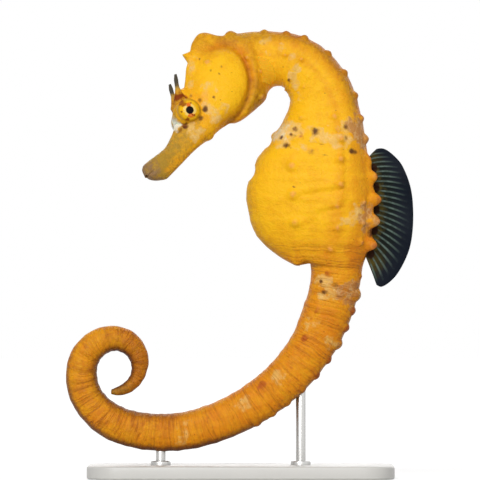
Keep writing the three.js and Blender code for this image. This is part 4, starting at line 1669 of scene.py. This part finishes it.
@dataclass
class Stand:
    """The flat base and its two rods."""

    bevel: float = 0.7
    corner: float = 10.0
    rod_into_tail: float = 0.9
    collar_radius: float = 3.0
    collar_height: float = 1.3
    level: float = 0.9  # how nearly upright the normal of a flat end is
    smooth_to: float = 35.0  # the angle between faces up to which a piece is shaded smooth

    def base(self) -> Piece:
        """Models the base: a block with round corners and a softened edge.

        Returns:
            The base.
        """
        low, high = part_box("stand_base")
        piece = Bench.add("stand_base_plate", bpy.ops.mesh.primitive_cube_add, size=1,
                          location=(low + high) / 2, scale=high - low)
        heights = Bench.places(piece)[:, 2]
        upright = [abs(heights[a] - heights[b]) > MM for a, b in (edge.vertices for edge in piece.data.edges)]
        self.soften(piece, "EDGE", upright, self.corner, 14)
        level = [abs(face.normal.z) > self.level for face in piece.data.polygons]
        self.soften(piece, "FACE", level, self.bevel, 4)
        Bench.smooth(piece, self.smooth_to)
        return piece

    def rod(self, name: str) -> Piece:
        """Models a rod from the base up into the tail's underside."""
        low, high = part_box(name)
        height = (high.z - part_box("stand_base")[1].z) / MM + self.rod_into_tail
        return self.post(f"{name}_steel", name, (high.x - low.x) / 2 / MM, height, 48, 0.35)

    def collar(self, name: str) -> Piece:
        """Models the turned collar at a rod's foot."""
        return self.post(f"{name}_collar", name, self.collar_radius, self.collar_height, 56, 0.4)

    def post(self, label: str, name: str, radius: float, height: float, sides: int, bevel: float) -> Piece:
        """Models a round post on the base.

        Args:
            label: the piece's name.
            name: the frame's node whose middle it stands on.
            radius: its radius.
            height: its height over the base.
            sides: how many sides it has.
            bevel: how far its top edge is softened.

        Returns:
            The post.
        """
        low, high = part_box(name)
        middle = (low + high) / 2
        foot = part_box("stand_base")[1].z
        piece = Bench.add(
            label, bpy.ops.mesh.primitive_cylinder_add, vertices=sides, radius=radius * MM, depth=height * MM,
            location=(middle.x, middle.y, foot + height / 2 * MM),
        )
        self.soften(piece, "FACE", [face.normal.z > self.level for face in piece.data.polygons], bevel, 3)
        Bench.smooth(piece, self.smooth_to)
        return piece

    @staticmethod
    def soften(piece: Piece, kind: str, chosen: Sequence[bool], width: float, steps: int) -> None:
        """Bevels chosen edges, or the rim of chosen faces.

        Args:
            piece: the piece.
            kind: EDGE or FACE.
            chosen: for each edge or face of the piece, whether it is chosen.
            width: how far the bevel goes in.
            steps: how many faces it has across.
        """
        Bench.edit(piece)
        bpy.ops.mesh.select_mode(type=kind)
        bpy.ops.mesh.select_all(action="DESELECT")
        Bench.close()
        parts = piece.data.edges if kind == "EDGE" else piece.data.polygons
        parts.foreach_set("select", np.array(chosen, bool))
        bpy.ops.object.mode_set(mode="EDIT")
        if kind == "FACE":
            bpy.ops.mesh.region_to_loop()
        bpy.ops.mesh.bevel(offset=width * MM, segments=steps)
        Bench.close()


@dataclass
class Studio:
    """A white floor, soft lamps and a long lens."""

    view_width: float = 144.0
    view_centre: float = 71.5
    view_left: float = 0.225
    distance: float = 3000.0
    floor_size: float = 6000.0
    floor_glow: float = 0.62
    room_light: float = 0.26

    def build(self) -> None:
        """Sets the whole studio up."""
        bpy.context.scene.view_settings.view_transform = "Standard"
        self.floor()
        self.camera()
        self.lamp("key", strength=2.35, angle=40, toward=(0.25, 1.0, -0.5))
        self.lamp("fill", strength=0.45, angle=80, toward=(-0.9, 0.75, -0.15))
        self.lamp("rim", strength=0.9, angle=60, toward=(-0.2, -1.0, -0.6))
        self.surroundings()

    def camera(self) -> None:
        """Adds the camera, level and square on to the animal's left side."""
        bpy.ops.object.camera_add(
            location=(-self.view_left * MM, -self.distance * MM, self.view_centre * MM),
            rotation=(math.pi / 2, 0, 0),
        )
        camera = bpy.context.object
        camera.name = "camera"
        camera.data.sensor_width = 36
        camera.data.lens = camera.data.sensor_width * self.distance / self.view_width
        camera.data.clip_end = 20
        bpy.context.scene.camera = camera

    def lamp(self, name: str, strength: float, angle: float, toward: tuple[float, float, float]) -> None:
        """Adds a soft, far lamp.

        Args:
            name: the lamp's name.
            strength: its strength.
            angle: how wide it looks, which softens its shadows.
            toward: the way its light goes.
        """
        bpy.ops.object.light_add(type="SUN")
        lamp = bpy.context.object
        lamp.name = name
        lamp.data.energy = strength
        lamp.data.angle = math.radians(angle)
        lamp.rotation_euler = Vector(toward).to_track_quat("-Z", "Y").to_euler()

    def surroundings(self) -> None:
        """Makes the world a dim white room that looks plain white itself."""
        world = bpy.context.scene.world = bpy.data.worlds.new("studio")
        recipe = Recipe(world)
        ambient, shown = (
            recipe.node("Background", {"Color": (1, 1, 1, 1), "Strength": strength}).outputs[0]
            for strength in (self.room_light, 1.0)
        )
        mixed = recipe.node("MixShader", {0: recipe.seen_directly(), 1: ambient, 2: shown})
        recipe.end("World Output", mixed.outputs[0])

    def floor(self) -> None:
        """Adds the floor, white where it is seen, but for the model's shadow."""
        floor = Bench.add("floor", bpy.ops.mesh.primitive_plane_add, size=self.floor_size * MM)
        recipe = Recipe(bpy.data.materials.new("studio_floor"))
        recipe.nodes.remove(recipe.nodes["Principled BSDF"])
        matt = recipe.node("BsdfDiffuse", {"Color": (0.6, 0.6, 0.6, 1)})
        lift = recipe.node("Emission", {"Strength": recipe.times(recipe.seen_directly(), self.floor_glow)})
        recipe.end("Material Output", recipe.node("AddShader", {0: matt.outputs[0], 1: lift.outputs[0]}).outputs[0])
        floor.data.materials.append(recipe.owner)


# ---------------------------------------------------------------- finishes


@dataclass(frozen=True)
class Finish:
    """A material of the model."""

    @staticmethod
    def start(name: str) -> tuple[Recipe, Socket]:
        """Starts the material: its recipe, and the place on the piece."""
        recipe = Recipe(bpy.data.materials.new(name))
        return recipe, recipe.object_place()


@dataclass(frozen=True)
class SkinFinish(Finish):
    """Moist, leathery skin: yellow to orange, with cream marbling, dark spots, fine stripes round the tail, and painted
    shade in its grooves, hollows and creases and on its edges.
    """

    yellow: Colour = (0.94, 0.50, 0.006)
    orange: Colour = (0.70, 0.225, 0.004)
    cream: Colour = (0.80, 0.49, 0.13)
    lace: Colour = (0.90, 0.66, 0.30)
    dusk: Colour = (0.50, 0.215, 0.06)
    blush: Colour = (0.86, 0.37, 0.085)
    rust: Colour = (0.42, 0.075, 0.008)
    frost: Colour = (0.87, 0.87, 0.70)
    # brown of the painted shade, and of the specks
    brown: Colour = (0.12, 0.030, 0.003)
    halo: Colour = (0.27, 0.09, 0.006)
    dark: Colour = (0.05, 0.012, 0.002)
    olive: Colour = (0.42, 0.235, 0.022)
    mauve: Colour = (0.27, 0.15, 0.058)
    # dark of the fine stripes and folds, partly painted shade in the creases
    crease: Colour = (0.30, 0.08, 0.004)

    def mix(self, length: float) -> bpy.types.Material:
        """Mixes the finish.

        Args:
            length: the length of the skin's UV map in millimetres.

        Returns:
            The material.
        """
        recipe, place = self.start("seahorse_skin")
        patchy, mottle = recipe.clouds(place, 5.0, 4.0, 0.6), recipe.clouds(place, 1.5, 4.0, 0.65)
        fine, broad = recipe.clouds(place, 0.5, 2.0, 0.6), recipe.clouds(place, 2.4)
        cloudy = recipe.sum("MULTIPLY_ADD", mottle, 0.35, recipe.times(broad, 0.65))
        along, streaks = self.folded(recipe, place, length)
        tone = recipe.frayed(recipe.frayed(recipe.painted("tone"), patchy, 0.3), mottle, 0.22)
        dull = recipe.frayed(recipe.painted("dull"), mottle, 0.24)
        cream = recipe.edged("cream", cloudy, 1.1, 0.15, 0.95)
        dusk = recipe.edged("dusk", cloudy, 1.0, 0.15, 0.85)
        lace = recipe.between(recipe.off(recipe.noise(place, 3.0, 2.0, 0.6), 0.5), 0.05, 0.0)
        stripes = recipe.painted("stripes")
        creases = recipe.between(recipe.off(recipe.bands(place, along, 1.7, 16.0, 1.0), 0.5), 0.04, 0.005)
        creased = recipe.times(stripes, recipe.times(creases, patchy))
        colour = recipe.layered(
            self.yellow,
            (tone, self.orange),
            (recipe.between(dull, 0.1, 0.62), self.olive),
            (recipe.between(dull, 0.7, 1.0), self.mauve),
            (cream, self.cream, 0.75),
            (dusk, self.dusk, 0.85),
            (recipe.times(lace, recipe.sum("MAXIMUM", cream, dusk)), self.lace, 0.28),
            (recipe.edged("frost", cloudy, 0.5, 0.1, 0.95), self.frost),
            (recipe.edged("blush", cloudy, 0.3, 0.1, 0.9), self.blush, 0.75),
            (recipe.edged("rust", cloudy, 0.8, 0.1, 0.9), self.rust, 0.8),
            # dark fine stripes and creases, with painted shade in the creases
            (recipe.times(stripes, recipe.between(streaks, 0.3, 1.0, 0.0, 0.27)), self.crease),
            (creased, self.crease, 0.6),
            # painted shade: the shade paint, laid in brown
            (recipe.edged("shade", mottle, 0.15, 0.0, 1.0), self.brown),
            (recipe.edged("spot", mottle, 0.35, 0.0, 0.6), self.halo, 0.62),
            (recipe.edged("spot", mottle, 0.3, 0.35, 0.85), self.dark, 0.85),
            (self.specks(recipe, place), self.brown),
        )
        wrinkled = recipe.bump(recipe.times(streaks, stripes), 0.15, recipe.bump(mottle, 0.12))
        wrinkled = recipe.bump(recipe.times(creased, -1.0), 0.1, wrinkled)
        return recipe.finish(
            Base_Color=colour,
            Roughness=recipe.between(fine, 0.0, 1.0, 0.38, 0.52),
            Normal=recipe.bump(fine, 0.05, wrinkled),
            IOR=1.42,
            Specular_IOR_Level=0.22,
            Subsurface_Weight=0.1,
            Subsurface_Radius=(1.0, 0.35, 0.08),
            Subsurface_Scale=0.0012,
        )

    @staticmethod
    def folded(recipe: Recipe, place: Socket, length: float) -> tuple[Socket, Socket]:
        """The fine folds that run round the body.

        Args:
            recipe: the material's recipe.
            place: the place on the piece.
            length: the length of the skin's UV map in millimetres.

        Returns:
            The distance along the body in millimetres, wavering, and the folds as a field from 0 to 1.
        """
        share = recipe.node("SeparateXYZ", {0: recipe.node("UVMap", uv_map="OFBake").outputs[0]})
        along = recipe.sum("MULTIPLY_ADD", share.outputs[0], length, recipe.times(recipe.noise(place, 9.0), 3.0))
        return along, recipe.between(recipe.bands(place, along, 0.8, 5.5, 3.0), 0.3, 0.7)

    @staticmethod
    def specks(recipe: Recipe, place: Socket) -> Socket:
        """A few tiny specks, scattered all over.

        Args:
            recipe: the material's recipe.
            place: the place on the piece.

        Returns:
            How much of them shows.
        """
        cells = recipe.node("TexVoronoi", {"Vector": place, "Scale": 1 / (2.6 * MM), "Randomness": 1.0}).outputs
        chosen = recipe.node("SeparateColor", {0: cells["Color"]}).outputs[0]
        small = recipe.between(cells["Distance"], 0.095, 0.055, 0.0, 0.5)
        return recipe.times(small, recipe.sum("GREATER_THAN", chosen, 0.55))


@dataclass(frozen=True)
class EyeFinish(Finish):
    """A wet eye: black pupil, cream and red-orange iris, yellow rim with brown blotches, and painted shade of the
    socket round its edge.
    """

    pupil: Colour = (0.004, 0.002, 0.002)
    cream: Colour = (0.86, 0.60, 0.16)
    red: Colour = (0.74, 0.135, 0.010)
    yellow: Colour = (0.90, 0.49, 0.006)
    # painted shade of the lid's socket round the ball's rim
    socket: Colour = (0.50, 0.24, 0.008)
    brown: Colour = (0.26, 0.05, 0.004)
    white: Colour = (0.90, 0.92, 0.82)

    def mix(self) -> bpy.types.Material:
        """Mixes the finish, from the ball's rim in to its pupil."""
        recipe, place = self.start("eye_glaze")
        ragged = recipe.clouds(place, 0.8, 3.0, 0.6)
        bare = recipe.painted("out")
        out = recipe.frayed(bare, ragged, 0.5)
        lobes = recipe.frayed(recipe.painted("lobes"), ragged, 1.0)
        red = recipe.times(recipe.between(lobes, 0.1, 0.8), recipe.between(out, 2.9, 1.9))
        blotch = recipe.frayed(recipe.painted("blotch"), ragged, 0.6)
        colour = recipe.layered(
            self.yellow,
            # painted shade of the socket, round the ball's rim
            (recipe.between(out, 3.0, 4.0, 0.0, 0.7), self.socket),
            (recipe.times(recipe.between(out, 2.2, 2.9), recipe.painted("pale")), self.white),
            (recipe.between(out, 2.2, 1.6), self.cream),
            (red, self.red, 0.95),
            (recipe.between(blotch, 0.15, 0.85, 0.0, 0.9), self.brown),
            (recipe.between(bare, 1.35, 1.12), self.pupil),
        )
        return recipe.finish(
            Base_Color=colour,
            Roughness=0.35,
            Specular_IOR_Level=0.05,
            Coat_Weight=0.2,
            Coat_IOR=1.25,
            Coat_Roughness=0.05,
            Normal=recipe.bump(recipe.noise(place, 0.4), 0.03),
        )


@dataclass(frozen=True)
class FrondFinish(Finish):
    """A soft filament, orange at its root and dark grey above."""

    rust: Colour = (0.22, 0.04, 0.004)
    root: Colour = (0.66, 0.31, 0.02)
    middle: Colour = (0.46, 0.27, 0.045)
    tip: Colour = (0.07, 0.06, 0.042)

    def mix(self) -> bpy.types.Material:
        """Mixes the finish, from the frond's root to its tip."""
        recipe, place = self.start("brow_frond_skin")
        ragged = recipe.noise(place, 1.1, 3.0, 0.6)
        share = recipe.frayed(recipe.painted("share"), ragged, 0.3)
        colour = recipe.layered(
            self.root,
            (recipe.times(recipe.between(share, 0.12, 0.26), recipe.between(share, 0.48, 0.34)), self.rust),
            (recipe.between(share, 0.42, 0.6), self.middle),
            (recipe.between(share, 0.55, 0.75), self.tip),
        )
        normal = recipe.bump(ragged, 0.12)
        return recipe.finish(Base_Color=colour, Roughness=0.5, Specular_IOR_Level=0.06, Normal=normal)


@dataclass(frozen=True)
class DorsalFinFinish(Finish):
    """A dark fin: navy margin, green-black webs, pale rays and an olive root, with painted shadow in the hollows at its
    root.
    """

    margin: Colour = (0.002, 0.0045, 0.010)
    # the painted shadow in the hollows at the fin's root
    hollow_shadow: Colour = (0.026, 0.007, 0.001)
    web: Colour = (0.0015, 0.004, 0.0025)
    ray: Colour = (0.105, 0.155, 0.13)
    olive: Colour = (0.14, 0.10, 0.010)

    def mix(self) -> bpy.types.Material:
        """Mixes the finish."""
        recipe, place = self.start("dorsal_fin_web")
        ragged = recipe.clouds(place, 1.6, 3.0, 0.6)
        out = recipe.frayed(recipe.painted("out"), ragged, 0.14)
        shown = recipe.times(recipe.between(out, 0.9, 0.5), recipe.between(out, 0.1, 0.35, 0.25, 1.0))
        shown = recipe.times(shown, recipe.between(ragged, 0.1, 0.9, 0.5, 1.0))
        ends = recipe.between(recipe.off(recipe.painted("share"), 0.47), 0.3, 0.53)
        rooted = recipe.times(ends, recipe.between(out, 0.8, 0.15))
        rooted = recipe.sum("MAXIMUM", rooted, recipe.between(out, 0.4, 0.18, 0.0, 0.9))
        hollow_shadow = recipe.frayed(recipe.painted("hollow_shadow"), ragged, 0.3)
        colour = recipe.layered(
            self.web,
            (recipe.between(out, 0.45, 0.75), self.margin),
            (rooted, self.olive, 0.7),
            (recipe.times(recipe.on_ray(0.1, 1.0), shown), self.ray),
            # painted shadow in the hollows at the fin's root
            (recipe.between(hollow_shadow, 0.05, 0.6), self.hollow_shadow),
        )
        normal = recipe.bump(recipe.noise(place, 0.35), 0.03)
        return recipe.finish(Base_Color=colour, Roughness=0.5, Specular_IOR_Level=0.08, Normal=normal)


@dataclass(frozen=True)
class ClearFinFinish(Finish):
    """A thin, translucent yellow-orange fin with paler rays."""

    web: Colour = (1.0, 0.60, 0.02)
    ray: Colour = (1.0, 0.68, 0.05)

    def mix(self) -> bpy.types.Material:
        """Mixes the finish."""
        recipe, place = self.start("clear_fin_web")
        return recipe.finish(
            Base_Color=recipe.mix(recipe.on_ray(0.0, 0.5), self.web, self.ray),
            Roughness=0.4,
            Specular_IOR_Level=0.2,
            Alpha=0.28,
            Subsurface_Weight=0.3,
            Subsurface_Radius=(1.0, 0.4, 0.1),
            Subsurface_Scale=0.001,
            Normal=recipe.bump(recipe.noise(place, 0.8), 0.04),
        )


@dataclass(frozen=True)
class PaintedSteel(Finish):
    """Satin paint with a faint orange-peel skin."""

    light: Colour = (0.60, 0.59, 0.56)
    dark: Colour = (0.558, 0.5487, 0.5208)

    def mix(self) -> bpy.types.Material:
        """Mixes the finish."""
        recipe, place = self.start("satin_paint")
        cloudy = recipe.noise(place, 14.0, 3.0)
        return recipe.finish(
            Base_Color=recipe.mix(cloudy, self.dark, self.light),
            Roughness=recipe.between(cloudy, 0.3, 0.7, 0.34, 0.44),
            Normal=recipe.bump(recipe.noise(place, 1.1), 0.02),
        )


@dataclass(frozen=True)
class BrushedSteel(Finish):
    """Stainless steel, brushed round the rod."""

    light: Colour = (0.56, 0.555, 0.54)
    dark: Colour = (0.476, 0.47175, 0.459)

    def mix(self) -> bpy.types.Material:
        """Mixes the finish."""
        recipe, place = self.start("brushed_steel")
        drawn = recipe.node("Mapping", {"Vector": place, "Scale": (1, 1, 14)}).outputs[0]
        lines = recipe.noise(drawn, 1.6, 4.0, 0.7)
        return recipe.finish(
            Base_Color=recipe.mix(lines, self.dark, self.light),
            Metallic=1.0,
            Roughness=recipe.between(lines, 0.3, 0.7, 0.22, 0.4),
            Normal=recipe.bump(lines, 0.02),
        )


# ---------------------------------------------------------------- the model


def main() -> None:
    """Builds the whole model and its studio."""
    logging.basicConfig(level=logging.INFO, format="%(name)s: %(message)s")
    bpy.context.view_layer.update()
    Studio().build()
    body = Body()
    skin = Skin(body)
    tail = [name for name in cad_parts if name.startswith("tail_")]
    Bench.hand_over(skin.build(), "skin", SkinFinish().mix(body.tip), (*skin.nodes, *tail))
    frond, clear = FrondFinish().mix(), ClearFinFinish().mix()
    glaze = EyeFinish().mix()
    for side in Side:
        Bench.hand_over(Eye(body, side, skin.turret).build(), "eye", glaze, [f"eye_{side.label}"])
        Bench.hand_over(BrowFrond(body, side).build(), "frond", frond, [f"brow_frond_{side.label}"])
        name = f"pectoral_fin_{side.label}"
        Bench.hand_over(PectoralFin(body, name, side=side).build(), "clear_fin", clear, [name])
    Bench.hand_over(DorsalFin(body, "dorsal_fin").build(), "dorsal_fin", DorsalFinFinish().mix(), ["dorsal_fin"])
    Bench.hand_over(AnalFin(body, "anal_fin").build(), "clear_fin", clear, ["anal_fin"])
    stand, steel = Stand(), BrushedSteel().mix()
    Bench.hand_over(stand.base(), "stand_base", PaintedSteel().mix(), ["stand_base"])
    for name in ("stand_rod_front", "stand_rod_rear"):
        Bench.hand_over(stand.rod(name), "stand_rod", steel, [name])
        Bench.hand_over(stand.collar(name), "stand_rod", steel)


if __name__ == "__main__":
    main()
